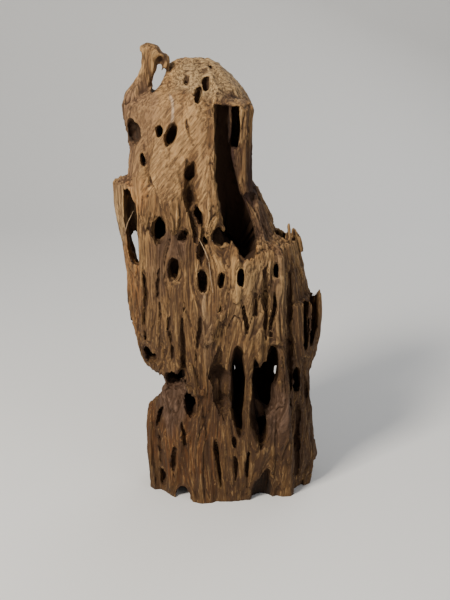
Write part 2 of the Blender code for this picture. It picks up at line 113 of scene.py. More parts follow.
# Where slender forms begin and end, as the two ends of a smooth climb.
HORN_FOOT = (350.0, 362.0)
HORN_SIDE = (-44.0, -34.0)
LEFT_FLAKE_SIDE = (-80.0, -76.0)
LEFT_FLAKE_FOOT = (200.0, 210.0)
LEFT_FLAKE_TOP = (288.0, 298.0)
RIGHT_FLAKE_SIDE = (82.0, 86.0)
RIGHT_FLAKE_FOOT = (128.0, 136.0)

NOISE_DIRECTIONS = 64
NOISE_START = 11
NOISE_SHIFT = 0.37
NOISE_GAIN = 1.6
HASH_FACTORS = (73856093, 19349663, 83492791)
HASH_SEED_FACTOR = 2654435761
HASH_MIXER = 2246822519

ZONE_WOBBLE = (3.5, 0.0, 9.0)
ZONE_WOBBLE_SIZE = (9.0, 9.0, 22.0)
ZONE_FADE = (0.7, 1.15)

# The trunk's outline, upwards: height, left, right, front, back, x of the foremost ridge, squareness.
# A squareness of 2 is an ellipse, less is more like a diamond and more is more like a box.
TRUNK_SECTIONS = [
    (0, -62, 80, -50, 48, -6, 2.0),
    (28, -66, 92, -51, 52, -4, 2.0),
    (50, -67, 88, -52, 53, 0, 2.0),
    (83, -65, 83, -53, 54, 4, 2.0),
    (110, -65, 82, -54, 55, 8, 2.0),
    (135, -75, 90, -54, 56, 12, 1.9),
    (160, -81, 91, -54, 56, 16, 1.9),
    (180, -82, 89, -54, 55, 18, 1.9),
    (184, -82, 80, -54, 55, 18, 1.9),
    (206, -83, 75, -53, 54, 18, 1.9),
    (231, -86, 69, -51, 50, 12, 1.9),
    (240, -88, 52, -50, 49, 4, 1.8),
    (268, -92, 39, -49, 46, -4, 1.8),
    (284, -93, 30, -49, 44, -6, 1.7),
    (289, -80, 29, -48, 44, -6, 1.7),
    (311, -76, 29, -46, 42, -6, 1.7),
    (330, -79, 29, -44, 41, -6, 1.7),
    (342, -81, 29, -41, 40, -6, 1.8),
    (350, -79, 28.5, -37, 39, -7, 1.9),
    (358, -70, 24, -31, 38, -8, 2.0),
    (366, -56, 18, -22, 36, -10, 2.1),
    (375, -48, 9, -9, 34, -14, 2.3),
    (382, -43, 1, 3, 32, -17, 2.5),
    (387, -36, -8, 12, 28, -18, 2.4),
]

# Upright forms are lists of stations: height, x, y, half width, half depth.
GROWTHS = {
    "horn limb": [(318, -67, 2, 11, 16), (340, -71, 4, 12, 15), (350, -72, 4, 11.5, 14),
                  (358, -70, 4, 10.8, 12), (366, -66, 4, 9.4, 9.5), (373, -62, 4, 8, 8.5),
                  (380, -59.5, 4, 7.4, 8), (386, -58.5, 4, 8, 8), (392, -57, 4, 7.4, 7.4)],
    "crown brow": [(280, 16, -26, 13, 12), (330, 14, -28, 15, 13), (349, 12.5, -29, 16.5, 14),
                   (353, 12, -27, 15, 13), (357, 10, -22, 12, 9)],
    "left tongue": [(332, -45, -27, 8, 5), (300, -43, -36, 15, 8), (280, -39, -40, 13, 9),
                    (262, -38, -42, 9, 9.5), (252, -38, -43, 4.5, 8), (247, -38, -43, 1.5, 4)],
    "left curtain": [(326, -63, -17, 6, 5), (292, -64, -26, 9, 8), (262, -63, -29, 6, 9),
                     (246, -61.5, -29, 2.5, 6)],
    "right tongue": [(340, -9, -34, 4, 6), (308, -9, -42, 9, 9), (280, -8, -46, 11, 10),
                     (262, -7, -48, 10.5, 9), (252, -7, -49, 6.5, 8), (245, -7, -49, 2, 4)],
    "throat column": [(190, 16, -51, 5, 7), (225, 14, -51, 5, 7), (243, 13, -50, 4.5, 6),
                      (250, 13.5, -50, 2, 3)],
    "channel column": [(190, 24, -48, 6, 8), (222, 23, -46, 5, 8), (232, 21.5, -45, 3, 6),
                       (238, 21, -44, 1.2, 3)],
    "right plate": [(200, 40, -24, 6, 14), (232, 38, -22, 5.5, 18), (262, 32, -16, 5, 18),
                    (276, 29, -12, 4, 16), (284, 27, -8, 1.8, 8)],
    "shelf spike near": [(222, 50, 8, 6, 6), (236, 50, 9, 3.5, 4), (245, 50.5, 9, 1, 1.5)],
    "shelf spike tall": [(222, 61, -10, 6, 8), (236, 60.5, -10, 4, 5), (248, 60.5, -10, 1.3, 1.5)],
    "shelf spike far": [(222, 68, 2, 7, 10), (233, 68, 2, 5, 8), (241, 66.5, 2, 1.5, 2.5)],
    "round column": [(150, 51, -44, 6, 9), (200, 51, -40, 7, 9), (226, 50, -35, 6.5, 8),
                     (236, 50, -32, 3, 4)],
    "right flake": [(128, 85, 2, 4, 10), (145, 89, 0, 3.2, 14), (168, 89.5, 0, 2.8, 12),
                    (181, 89.5, 0, 2, 8), (187, 89.5, -2, 0.8, 2)],
    "lower left flake": [(-4, -58, -14, 7, 14), (30, -62, -13, 6, 14), (60, -62, -13, 6, 13),
                         (76, -61.5, -13, 4.6, 9), (84, -61.5, -13, 2.6, 5)],
    "front foot": [(-4, -13, -46, 12, 7), (30, -15, -46, 13, 9), (62, -17, -46, 9, 9),
                   (84, -18, -46, 5, 8), (112, -20, -45, 4, 8), (132, -26, -46, 3, 6)],
    "right front foot": [(-4, 60, -34, 9, 6), (40, 58, -36, 10, 10), (100, 56, -40, 8, 8),
                         (160, 52, -42, 5, 6)],
    "right bulge": [(-4, 80, 8, 8, 26), (30, 83, 8, 7.5, 28), (60, 80, 8, 6, 20), (80, 76, 6, 4, 12)],
}

# Lumps and pockets are uneven egg shapes: x, y, height, half width, half depth, half height, lean and dip in
# degrees. The lean turns the top to the right, and the dip lowers the back end.
LUMPS = {
    "horn head": (-57, 4, 392.2, 10, 7.5, 7.8, 20, 0),
    "horn brow": (-50, 4, 388.5, 7, 7, 6, 20, 0),
    "horn beak": (-44.8, 4, 383, 3.6, 6, 8, 14, 0),
    "slot tongue": (34.6, -50, 152, 4, 6, 18, 0, 0),
    "curled lip": (-21, -50, 109, 9, 6, 4.5, 24, 0),
    "diagonal swelling": (-3, -52, 168, 6, 6, 24, 28, 0),
    "knot": (-29, -46, 62, 6, 5, 6, 0, 0),
}

CHAMBERS = {
    "top chamber": [(358, -18, 6, 7, 8), (344, -18, 6, 13, 14), (318, -22, 5, 12, 15),
                    (290, -28, 4, 9, 13)],
    "upper chamber": [(342, -46, 2, 9, 12), (322, -47, 2, 17, 17), (295, -44, 2, 17, 20),
                      (262, -47, 0, 17, 25), (232, -47, 0, 14, 27)],
    "left chamber": [(252, -46, 0, 11, 20), (205, -45, 0, 15, 25), (150, -44, 0, 16, 27),
                     (118, -42, 2, 16, 27)],
    "middle chamber": [(250, -3, 2, 9, 20), (215, 0, 0, 14, 30), (160, 4, 0, 16, 32), (110, 6, 0, 16, 33),
                       (60, 4, 0, 14, 31), (-6, 0, 0, 13, 28)],
    "right chamber": [(262, 53, 2, 5, 10), (234, 53, 2, 9, 18), (200, 47, 0, 14, 27), (150, 45, 0, 16, 30),
                      (100, 45, 0, 16.5, 32), (50, 44, 0, 15, 30), (-6, 45, 0, 14, 28)],
    "lower left chamber": [(122, -36, 4, 10, 24), (98, -35, 6, 14, 26), (55, -37, 5, 13, 26),
                           (-6, -36, 4, 12, 24)],
    "front channel": [(352.5, 2.4, -44, 6.4, 28), (325, 3, -44, 7.4, 36), (296, 5, -40, 9.8, 42),
                      (268, 12.4, -36, 13, 44), (248, 18, -32, 14, 42), (232, 23, -28, 10, 34),
                      (222, 26, -24, 4, 18)],
    "side channel": [(352.5, 13.4, -36, 3.8, 30), (332, 13.6, -34, 4.2, 30), (317, 13.4, -32, 3.2, 24)],
    "flake gap": [(281, -78, -26, 3, 18), (268, -76, -26, 6, 19), (252, -75, -24, 6.4, 20),
                  (240, -74.6, -24, 5.8, 26), (227, -74, 0, 5.4, 80), (215, -71.5, 0, 3.6, 70)],
    "flake back gap": [(238, -74.6, 20, 3.0, 40), (231, -74, 24, 5.4, 44), (214, -71.5, 26, 4.6, 44),
                       (200, -69, 28, 2, 30)],
    "left undercut": [(124, -46, -56, 8, 16), (112, -46, -58, 18, 26), (96, -46, -58, 21, 27),
                      (82, -44, -60, 16, 24), (76, -42, -62, 8, 14)],
    "right flake gap": [(192, 85, -8, 3.6, 34), (172, 84.5, -10, 4.6, 26), (152, 83, -12, 4.2, 22),
                        (138, 81, -12, 2, 14)],
    "right slit": [(182, 76, -22, 2.4, 16), (160, 76.5, -22, 3, 18), (138, 76, -22, 2, 12)],
}

POCKETS = {
    "horn eye": (-51, 4, 369.5, 2.8, 40, 12, 30, 0),
    "horn hollow": (-49.5, -5, 384.5, 4.8, 7, 6, 10, 0),
    "left edge notch": (-72, -18, 328, 7, 17, 11, -14, 0),
    "left edge bite": (-85, 0, 322, 8, 60, 10, 0, 0),
    "small upper hole": (-49.3, -34, 331.4, 3.0, 24, 5.0, 4, 8),
    "large upper hole": (-39.2, -38, 329, 4.6, 26, 10.5, 18, 8),
    "upper slit": (-63, -24, 307, 1.6, 14, 6.5, -12, 0),
    "crown pit": (-26, -16, 374, 3.0, 8, 8, 10, -40),
    "crown hole low": (-17.5, -26, 359, 3.4, 10, 9, 20, -30),
    "crown hole high": (-11, -14, 367, 3.2, 9, 10, 10, -30),
    "crown back pit": (-12, 20, 385, 2.4, 5, 7, 0, 0),
    "crown side slit": (-6, 4, 377, 1.6, 5, 7, -20, 0),
    "fissure eye high": (-23.5, -44, 300, 4.6, 20, 8, 6, 20),
    "fissure eye low": (-16.5, -46, 263, 3.6, 24, 9, -16, 10),
    "lance hole": (-50.5, -36, 249, 6.5, 22, 11.5, 0, 10),
    "lance notch": (-30, -44, 246, 4, 12, 7, 20, 10),
    "round hole": (-38.5, -44, 215.5, 4.8, 24, 10.5, 2, 8),
    "broad hole": (-13.5, -50, 207, 5.0, 26, 11, -6, 8),
    "short hole": (3.2, -52, 208.5, 3.0, 26, 7.5, 8, 8),
    "tall hole": (18.4, -52, 211, 2.9, 30, 10, 0, 8),
    "throat": (2, -48, 246, 7, 26, 9, -34, 10),
    "throat side hole": (-11.5, -50, 242, 2.0, 20, 4.5, -12, 0),
    "right hole": (48.5, -42, 214, 2.8, 24, 7.5, 0, 8),
    "low left notch": (-62, -22, 131, 6.5, 24, 8, -30, 0),
    "left bite": (-80, 0, 91, 33, 110, 20, -16, 22),
    "arch": (-41, -40, 113, 9, 26, 10, 0, 0),
    "arch tooth gap": (-52, -34, 110, 4, 20, 7, 20, 0),
    "left sight hole": (-33.5, 0, 105, 2.6, 90, 6.2, 0, 21),
    "tooth side hole": (-25.5, -44, 94, 5.2, 34, 13.5, -4, 0),
    "front slot": (16.3, -56, 112, 7, 38, 36, 0, 8),
    "front slot foot": (17.6, -54, 84, 3.8, 34, 18, -4, 0),
    "wide slot": (39.5, -54, 105, 12.5, 36, 30, 4, 8),
    "wide slot near lobe": (30.8, -54, 120, 4, 34, 19, 0, 8),
    "wide slot far lobe": (46, -54, 126, 7.8, 36, 25, 3, 8),
    "wide slot side": (34.5, -54, 94, 7.5, 32, 34, 0, 0),
    "wide slot foot": (38, -54, 68, 4.4, 30, 20, 2, 0),
    "right plane": (51.5, -55, 86, 8.5, 11, 30, 2, 0),
    "right eye": (69, -28, 110, 4.0, 34, 11.5, 0, 21),
    "slot sight hole": (12.8, 45, 95, 2.6, 26, 5, 0, 21),
    "wide slot sight hole": (54, 40, 94, 2.8, 26, 6, 0, 21),
    "channel throat": (19, -22, 240, 12, 34, 17, -16, 0),
    "pin hole": (-7.9, -54, 121, 1.5, 20, 2.2, 0, 0),
    "foot arch": (39, -48, 3, 10.5, 15.5, 28, 8, 0),
    "left foot arch": (-33, -42, 0, 7, 26, 10, 0, 0),
    "lower flake gap": (-53.5, -30, 74, 2.2, 18, 14, 12, 0),
    "lower flake slit": (-52, -32, 14, 2.6, 14, 10, -4, 0),
    "back slot": (-20, 50, 164, 7, 26, 34, 4, 0),
    "back wide slot": (38, 50, 176, 8, 26, 34, -5, 0),
    "back high hole": (-30, 42, 300, 6, 22, 15, 8, 0),
    "back small hole": (8, 44, 262, 4.5, 22, 10, 0, 0),
    "back low hole": (-50, 44, 40, 7, 26, 15, 0, 0),
    "back eye": (14, 50, 214, 4.5, 24, 11, -8, 0),
    "back foot arch": (4, 50, 0, 15, 30, 20, 0, 0),
    "right side hole": (84, 20, 104, 20, 6, 16, 0, 0),
    "right side foot": (84, 4, 0, 20, 13, 14, 0, 0),
    "left side hole": (-84, 16, 170, 24, 6, 17, 0, 0),
    "left side foot": (-62, 12, 0, 18, 12, 12, 0, 0),
}

# Splits follow the face of the wood: face, x and height at the top, the same at the foot, half width, half
# depth.
SPLITS = [
    ("front", -27, 313, -20, 236, 5.4, 15),
    ("front", -1, 150, 4, 78, 7.5, 15),
    ("front", -15, 258, -14, 214, 3.0, 9),
    ("front", 38, 226, 41, 150, 3.0, 10),
    ("front", 60, 232, 63, 60, 3.2, 10),
    ("front", 47, 204, 46, 152, 2.0, 8),
    ("front", -66, 240, -64, 132, 1.8, 6),
    ("front", -53, 232, -50, 120, 1.5, 5),
    ("front", -31, 202, -31, 92, 1.9, 8),
    ("front", -43, 196, -42, 118, 1.5, 5),
    ("front", -14, 192, -22, 118, 1.8, 6),
    ("front", 3, 196, -6, 150, 1.7, 6),
    ("front", 18, 196, 28, 150, 1.9, 6),
    ("front", 31, 214, 31, 160, 1.6, 5),
    ("front", -5, 76, 4, 2, 2.6, 11),
    ("front", 14, 78, 15, 6, 1.7, 6),
    ("front", 24, 72, 25, 4, 2.0, 7),
    ("front", 69, 96, 72, 6, 3.0, 10),
    ("front", -32, 84, -31, 40, 2.0, 8),
    ("front", -40, 60, -42, 10, 2.0, 6),
    ("front", -54, 64, -53, 20, 1.8, 6),
    ("front", -30, 350, -15, 306, 1.6, 3),
    ("front", 76, 130, 80, 70, 2.4, 8),
    ("back", -50, 330, -44, 190, 4.0, 9),
    ("back", -10, 350, -4, 270, 3.6, 9),
    ("back", 10, 330, 12, 276, 3.0, 8),
    ("back", 50, 210, 52, 60, 4.0, 10),
    ("back", -4, 130, 0, 30, 3.6, 9),
    ("back", -62, 140, -54, 30, 3.4, 9),
    ("back", 26, 190, 26, 140, 3.0, 8),
    ("back", -22, 270, -18, 200, 3.6, 9),
    ("back", -64, 280, -66, 190, 3.0, 8),
    ("back", 70, 180, 72, 60, 3.4, 9),
]

# Stains, painted shade and painted light by kind: x, y and height of the middle, half width, half depth, half
# height, strength.
STAINS_AND_PAINTED_LIGHT = {
    "plum": [
        (-40, -34, 96, 17, 22, 30, 1.0),
        (53, -34, 84, 12, 26, 36, 1.0),
        (35, -20, 238, 12, 20, 44, 0.9),
        (-38, -34, 236, 16, 16, 18, 0.8),
        (-52, -30, 216, 10, 16, 40, 0.5),
        (50, -38, 176, 5, 14, 70, 0.7),
    ],
    # The reddish channel, with painted shade darkening its inner right wall.
    "red": [
        (8, -24, 305, 14, 22, 62, 1.0),
        (-2, -36, 268, 6, 14, 24, 0.8),
        (20, -20, 246, 16, 20, 34, 1.0),
        (24, -18, 286, 12, 20, 44, 1.0),
    ],
    # Painted shade: darkens the slots, the fissure, the recess under the tongues and the faces turned from
    # the lamp.
    "shade": [
        (-34, -40, 231, 36, 22, 17, 1.0),
        (6, -42, 237, 20, 20, 15, 0.8),
        (-23, -46, 286, 8, 20, 30, 1.0),
        (-40, -36, 112, 26, 26, 11, 0.8),
        (38, -40, 100, 13, 16, 46, 1.0),
        (-3, -50, 112, 8, 20, 38, 0.8),
        (62, -40, 130, 5, 24, 90, 0.8),
        (76, -24, 150, 10, 30, 50, 0.7),
        (78, -10, 60, 14, 40, 60, 0.6),
        (24, -22, 318, 9, 24, 46, 0.8),
        (-64, -16, 322, 16, 34, 44, 0.32),
        (-36, -42, 264, 40, 20, 22, 0.45),
        (-54, -46, 178, 34, 30, 44, 0.4),
        (68, -30, 165, 12, 30, 66, 0.6),
    ],
    "rust": [
        (-34, -44, 52, 26, 26, 44, 0.8),
        (-10, -48, 60, 14, 20, 60, 0.75),
        (-60, -20, 60, 14, 30, 30, 0.9),
        (-70, -24, 280, 12, 30, 18, 0.6),
        (-76, -14, 190, 10, 30, 60, 0.5),
        (-14, -52, 100, 9, 14, 16, 0.8),
        (24, -50, 236, 14, 12, 14, 0.6),
    ],
    # Dust on the crown, and painted light that brightens the front right and the left flake.
    "dust": [
        (4, -6, 376, 46, 50, 26, 1.0),
        (36, -46, 190, 30, 26, 40, 0.5),
        (-88, -20, 252, 8, 34, 34, 0.7),
    ],
    "ash": [
        (-66, -14, 342, 22, 34, 34, 1.0),
        (-76, -10, 300, 13, 34, 30, 1.0),
        (60, -20, 150, 22, 34, 60, 0.4),
    ],
    # Painted shade: near black inside the slots, arches, channel and flake gaps.
    "black": [
        (17, -30, 108, 9, 17, 38, 1.0),
        (39, -29, 106, 15, 17, 44, 1.0),
        (39, -34, 5, 11, 8.5, 25, 1.0),
        (13.4, -22, 336, 6, 14, 22, 0.9),
        (6, -14, 300, 12, 16, 56, 0.7),
        (19, -18, 246, 14, 18, 20, 0.9),
        (-74, -8, 254, 7, 20, 24, 0.9),
        (-72, -6, 328, 7.4, 12, 11, 0.95),
        (27, -27, 236, 9, 15, 20, 0.95),
    ],
    "pale": [
        (-39.5, -34, 350, 1.9, 16, 22, 0.9),
        (-14, -50, 178, 3.4, 10, 24, 0.4),
        (-10, -52, 150, 3, 10, 30, 0.4),
    ],
}

# Thin splinters, each a path of x, y and height.
SPLINTERS = [
    ((-72, -32, 265), (-78, -30, 253), (-81, -28, 243)),
    ((-17, -52, 246), (-12, -54, 236), (-8.5, -53, 226)),
    ((-8.5, -53, 226), (-7, -53, 212), (-5, -53, 198)),
]


def ease(value: Points, low: float, high: float) -> Points:
    """A smooth climb from 0 at the low value to 1 at the high one.

    Args:
        value: The values to judge.
        low: Where the climb starts.
        high: Where the climb ends.

    Returns:
        The share of the climb at each value.
    """
    share = np.clip((value - low) / (high - low), 0.0, 1.0)
    return share * share * (3 - 2 * share)


class Pattern(IntEnum):
    """The patterns of noise that the wood uses."""

    MEANDER_ACROSS = 1
    MEANDER_DEEP = 2
    SLANT_MEANDER = 3
    TORN_ENDS = 5
    TORN_DRIFT = 7
    WIDE = 11
    MIDDLE = 12
    FINE = 13
    GRIT = 14
    BRUSHED_MIDDLE = 15
    BRUSHED_FINE = 16
    STAIN_EDGE = 21
    PATCH = 31


def seeded_directions() -> Points:
    """Unit directions, the same in each run."""
    directions = np.random.default_rng(NOISE_START).normal(size=(NOISE_DIRECTIONS, 3))
    return (directions / np.linalg.norm(directions, axis=1)[:, None]).astype(np.float32)


DIRECTIONS = seeded_directions()


def rot_noise(points: Points, size: Sequence[float], seed: int) -> Points:
    """Gradient noise whose cells have the given size.

    Args:
        points: One row for each place.
        size: How long a cell is in x, y and z.
        seed: Another number gives another pattern.

    Returns:
        A value for each place, mostly between -0.7 and 0.7.
    """
    places = (points / np.array(size)).astype(np.float32) + np.float32(NOISE_SHIFT * seed)
    base = np.floor(places)
    part = places - base
    base = base.astype(np.int64)
    fade = part * part * part * (part * (part * 6 - 15) + 10)
    total = np.zeros(len(points), np.float32)
    for corner in np.ndindex(2, 2, 2):
        cell = base + np.array(corner)
        across, deep, upwards = (cell * np.array(HASH_FACTORS)).T
        mixed = across ^ deep ^ upwards ^ seed * HASH_SEED_FACTOR
        mixed = (mixed ^ (mixed >> 15)) * HASH_MIXER
        mixed = mixed ^ (mixed >> 13)
        slope = DIRECTIONS[mixed & (NOISE_DIRECTIONS - 1)]
        share = np.ones(len(points), np.float32)
        for axis in range(3):
            share *= fade[:, axis] if corner[axis] else 1 - fade[:, axis]
        total += share * np.einsum("ij,ij->i", slope, part - np.array(corner, np.float32))
    return total * NOISE_GAIN


def crack(value: Points, width: float) -> Points:
    """1 on the lines where a noise crosses zero, falling to 0 a little beside them."""
    return np.exp(-((value / width) ** 2))


def grown(value: Points, relief: Size) -> Points:
    """A noise's swelling less its cracks, by how high it swells and how deep and wide the cracks are."""
    swelling, depth, width = relief
    return swelling * value - depth * crack(value, width)


class Bench:
    """The bpy.ops steps that every piece is made with."""

    @staticmethod
    def clear_selection() -> None:
        """Leaves nothing selected."""
        if bpy.context.object and bpy.context.object.mode != "OBJECT":
            bpy.ops.object.mode_set(mode="OBJECT")
        bpy.ops.object.select_all(action="DESELECT")

    @staticmethod
    def choose(obj: bpy.types.Object) -> None:
        """Makes an object the only one selected, and active."""
        Bench.clear_selection()
        obj.select_set(True)
        bpy.context.view_layer.objects.active = obj

    @staticmethod
    def file_under(obj: bpy.types.Object, name: str, collection: bpy.types.Collection) -> bpy.types.Object:
        """Names an object and moves it to one collection.

        Args:
            obj: The object.
            name: Its new name.
            collection: Where it goes.

        Returns:
            The same object.
        """
        for holder in list(obj.users_collection):
            holder.objects.unlink(obj)
        collection.objects.link(obj)
        obj.name = name
        return obj

    @staticmethod
    def points_of(obj: bpy.types.Object) -> Points:
        """The vertices of an object's mesh, in millimetres."""
        flat = np.empty(len(obj.data.vertices) * 3, np.float32)
        obj.data.vertices.foreach_get("co", flat)
        return flat.reshape(-1, 3) / MM

    @staticmethod
    def move_points(obj: bpy.types.Object, points: Points) -> None:
        """Puts the vertices of an object's mesh at places in millimetres."""
        obj.data.vertices.foreach_set("co", (points * MM).astype(np.float32).ravel())
        obj.data.update()

    @staticmethod
    def normals_of(obj: bpy.types.Object) -> Points:
        """The vertex normals of an object's mesh."""
        flat = np.empty(len(obj.data.vertices) * 3, np.float32)
        obj.data.vertex_normals.foreach_get("vector", flat)
        return flat.reshape(-1, 3)

    @staticmethod
    def edges_of(obj: bpy.types.Object) -> Points:
        """The two vertex numbers of each edge."""
        flat = np.empty(len(obj.data.edges) * 2, np.int32)
        obj.data.edges.foreach_get("vertices", flat)
        return flat.reshape(-1, 2)

    @staticmethod
    def finish(obj: bpy.types.Object, modifier: bpy.types.Modifier) -> None:
        """Applies a modifier that was just set up."""
        Bench.choose(obj)
        bpy.ops.object.modifier_apply(modifier=modifier.name)

    @staticmethod
    def weigh(obj: bpy.types.Object, name: str, weights: Points, steps: int) -> bpy.types.VertexGroup:
        """Makes a vertex group.

        Args:
            obj: The object.
            name: The group's name.
            weights: The weight of each vertex.
            steps: Into how many steps the weights are rounded.

        Returns:
            The group.
        """
        group = obj.vertex_groups.new(name=name)
        levels = np.round(weights * steps).astype(int)
        for level in np.unique(levels):
            group.add(np.nonzero(levels == level)[0].tolist(), float(level) / steps, "REPLACE")
        return group

    @staticmethod
    def add_values(obj: bpy.types.Object, name: str, values: Points) -> None:
        """Stores one number for each vertex, which the finish reads by its name."""
        attribute = obj.data.attributes.new(name, "FLOAT", "POINT")
        attribute.data.foreach_set("value", values.astype(np.float32))

    @staticmethod
    def add_vectors(obj: bpy.types.Object, name: str, values: Points) -> None:
        """Stores one vector for each vertex, which the finish reads by its name."""
        attribute = obj.data.attributes.new(name, "FLOAT_VECTOR", "POINT")
        attribute.data.foreach_set("vector", values.astype(np.float32).ravel())


def soften(values: Points, edges: Points, rounds: int) -> Points:
    """Averages values along the edges again and again.

    Args:
        values: One row for each vertex.
        edges: The two vertex numbers of each edge.
        rounds: How often.

    Returns:
        The averaged rows.
    """
    count = len(values)
    reach = np.bincount(edges.ravel(), minlength=count).astype(np.float32)
    ends, others = np.concatenate([edges[:, 0], edges[:, 1]]), np.concatenate([edges[:, 1], edges[:, 0]])
    result = values.astype(np.float32)
    for _ in range(rounds):
        sums = [np.bincount(ends, weights=column[others], minlength=count) for column in result.T]
        result = 0.5 * result + 0.5 * (np.array(sums).T / np.maximum(reach, 1)[:, None]).astype(np.float32)
    return result


class Face(Enum):
    """The two broad faces of the trunk."""

    FRONT = "front"
    BACK = "back"


@dataclass
class Outline:
    """The trunk's outside before anything is cut from it."""

    sections: list[Station] = field(default_factory=lambda: TRUNK_SECTIONS)
    sides: int = TRUNK_SIDES
    ring_step: float = TRUNK_RING_STEP

    @staticmethod
    def heights(stations: Sequence[Station], step: float) -> list[float]:
        """The stations' heights, with more between them.

        Args:
            stations: Rows that start with a height, upwards.
            step: About how far apart the heights are.

        Returns:
            The heights, upwards.
        """
        heights = [stations[0][0]]
        for lower, upper in zip(stations, stations[1:]):
            count = max(1, round((upper[0] - lower[0]) / step))
            heights.extend(np.linspace(lower[0], upper[0], count + 1)[1:])
        return heights

    @staticmethod
    def between(stations: Sequence[Station], heights: Iterable[float]) -> Points:
        """The stations' values at other heights, one row for each."""
        table = np.array(sorted(stations), float)
        return np.array([np.interp(heights, table[:, 0], column) for column in table[:, 1:].T]).T

    @staticmethod
    def superellipse(angle: float, squareness: float) -> tuple[float, float]:
        """The point at an angle on a superellipse of radius 1."""
        cosine, sine = math.cos(angle), math.sin(angle)
        power = 2.0 / squareness
        return math.copysign(abs(cosine) ** power, cosine), math.copysign(abs(sine) ** power, sine)

    def ring(self, height: float, left: float, right: float, front: float, back: float, ridge: float,
             squareness: float) -> list[Vector]:
        """The outline at one height, with the columns that run up it.

        Args:
            height: The height of the ring.
            left: The x of its left end.
            right: The x of its right end.
            front: The y of its front.
            back: The y of its back.
            ridge: The x of its foremost ridge.
            squareness: 2 is an ellipse, more is like a box.

        Returns:
            The points of the ring, anticlockwise.
        """
        middle, half_depth = (front + back) / 2, (back - front) / 2
        points = []
        for step in range(self.sides):
            angle = 2 * math.pi * step / self.sides
            across, along = self.superellipse(angle, squareness)
            reach = right - ridge if across > 0 else ridge - left
            place = (COLUMN_COUNT * math.cos(angle), COLUMN_COUNT * math.sin(angle), height / COLUMN_LENGTH)
            swell = 1 + COLUMN_DEPTH / half_depth * noise.noise(Vector(place)) * abs(math.sin(angle))
            points.append(Vector((ridge + reach * across, middle + half_depth * along * swell, height)))
        return points

    def rings(self) -> list[list[Vector]]:
        """The rings of the whole outline, upwards."""
        heights = self.heights(self.sections, self.ring_step)
        return [self.ring(height, *row) for height, row in zip(heights, self.between(self.sections, heights))]

    def face_y(self, face: Face, x: float, height: float) -> float:
        """The y of the front or back face at a place."""
        left, right, front, back, ridge, squareness = self.between(self.sections, [height])[0]
        reach = right - ridge if x > ridge else ridge - left
        share = min(abs(x - ridge) / reach, FACE_EDGE)
        along = (1 - share**squareness) ** (1 / squareness)
        middle, half_depth = (front + back) / 2, (back - front) / 2
        return middle + half_depth * (along if face is Face.BACK else -along)

    def depth_inside(self, points: Points) -> Points:
        """How far each point is inside the outline, in millimetres.

        Args:
            points: One row for each place.

        Returns:
            0 on the outline, more towards the heart of the trunk and less outside.
        """
        left, right, front, back, ridge, squareness = self.between(self.sections, points[:, 2]).T
        across = points[:, 0] - ridge
        reach = np.where(across > 0, right - ridge, ridge - left)
        half_depth = (back - front) / 2
        along = points[:, 1] - (front + back) / 2
        sideways, inwards = np.abs(across / reach) ** squareness, np.abs(along / half_depth) ** squareness
        radius = (sideways + inwards) ** (1 / squareness)
        return (1 - radius) * np.minimum(reach, half_depth)


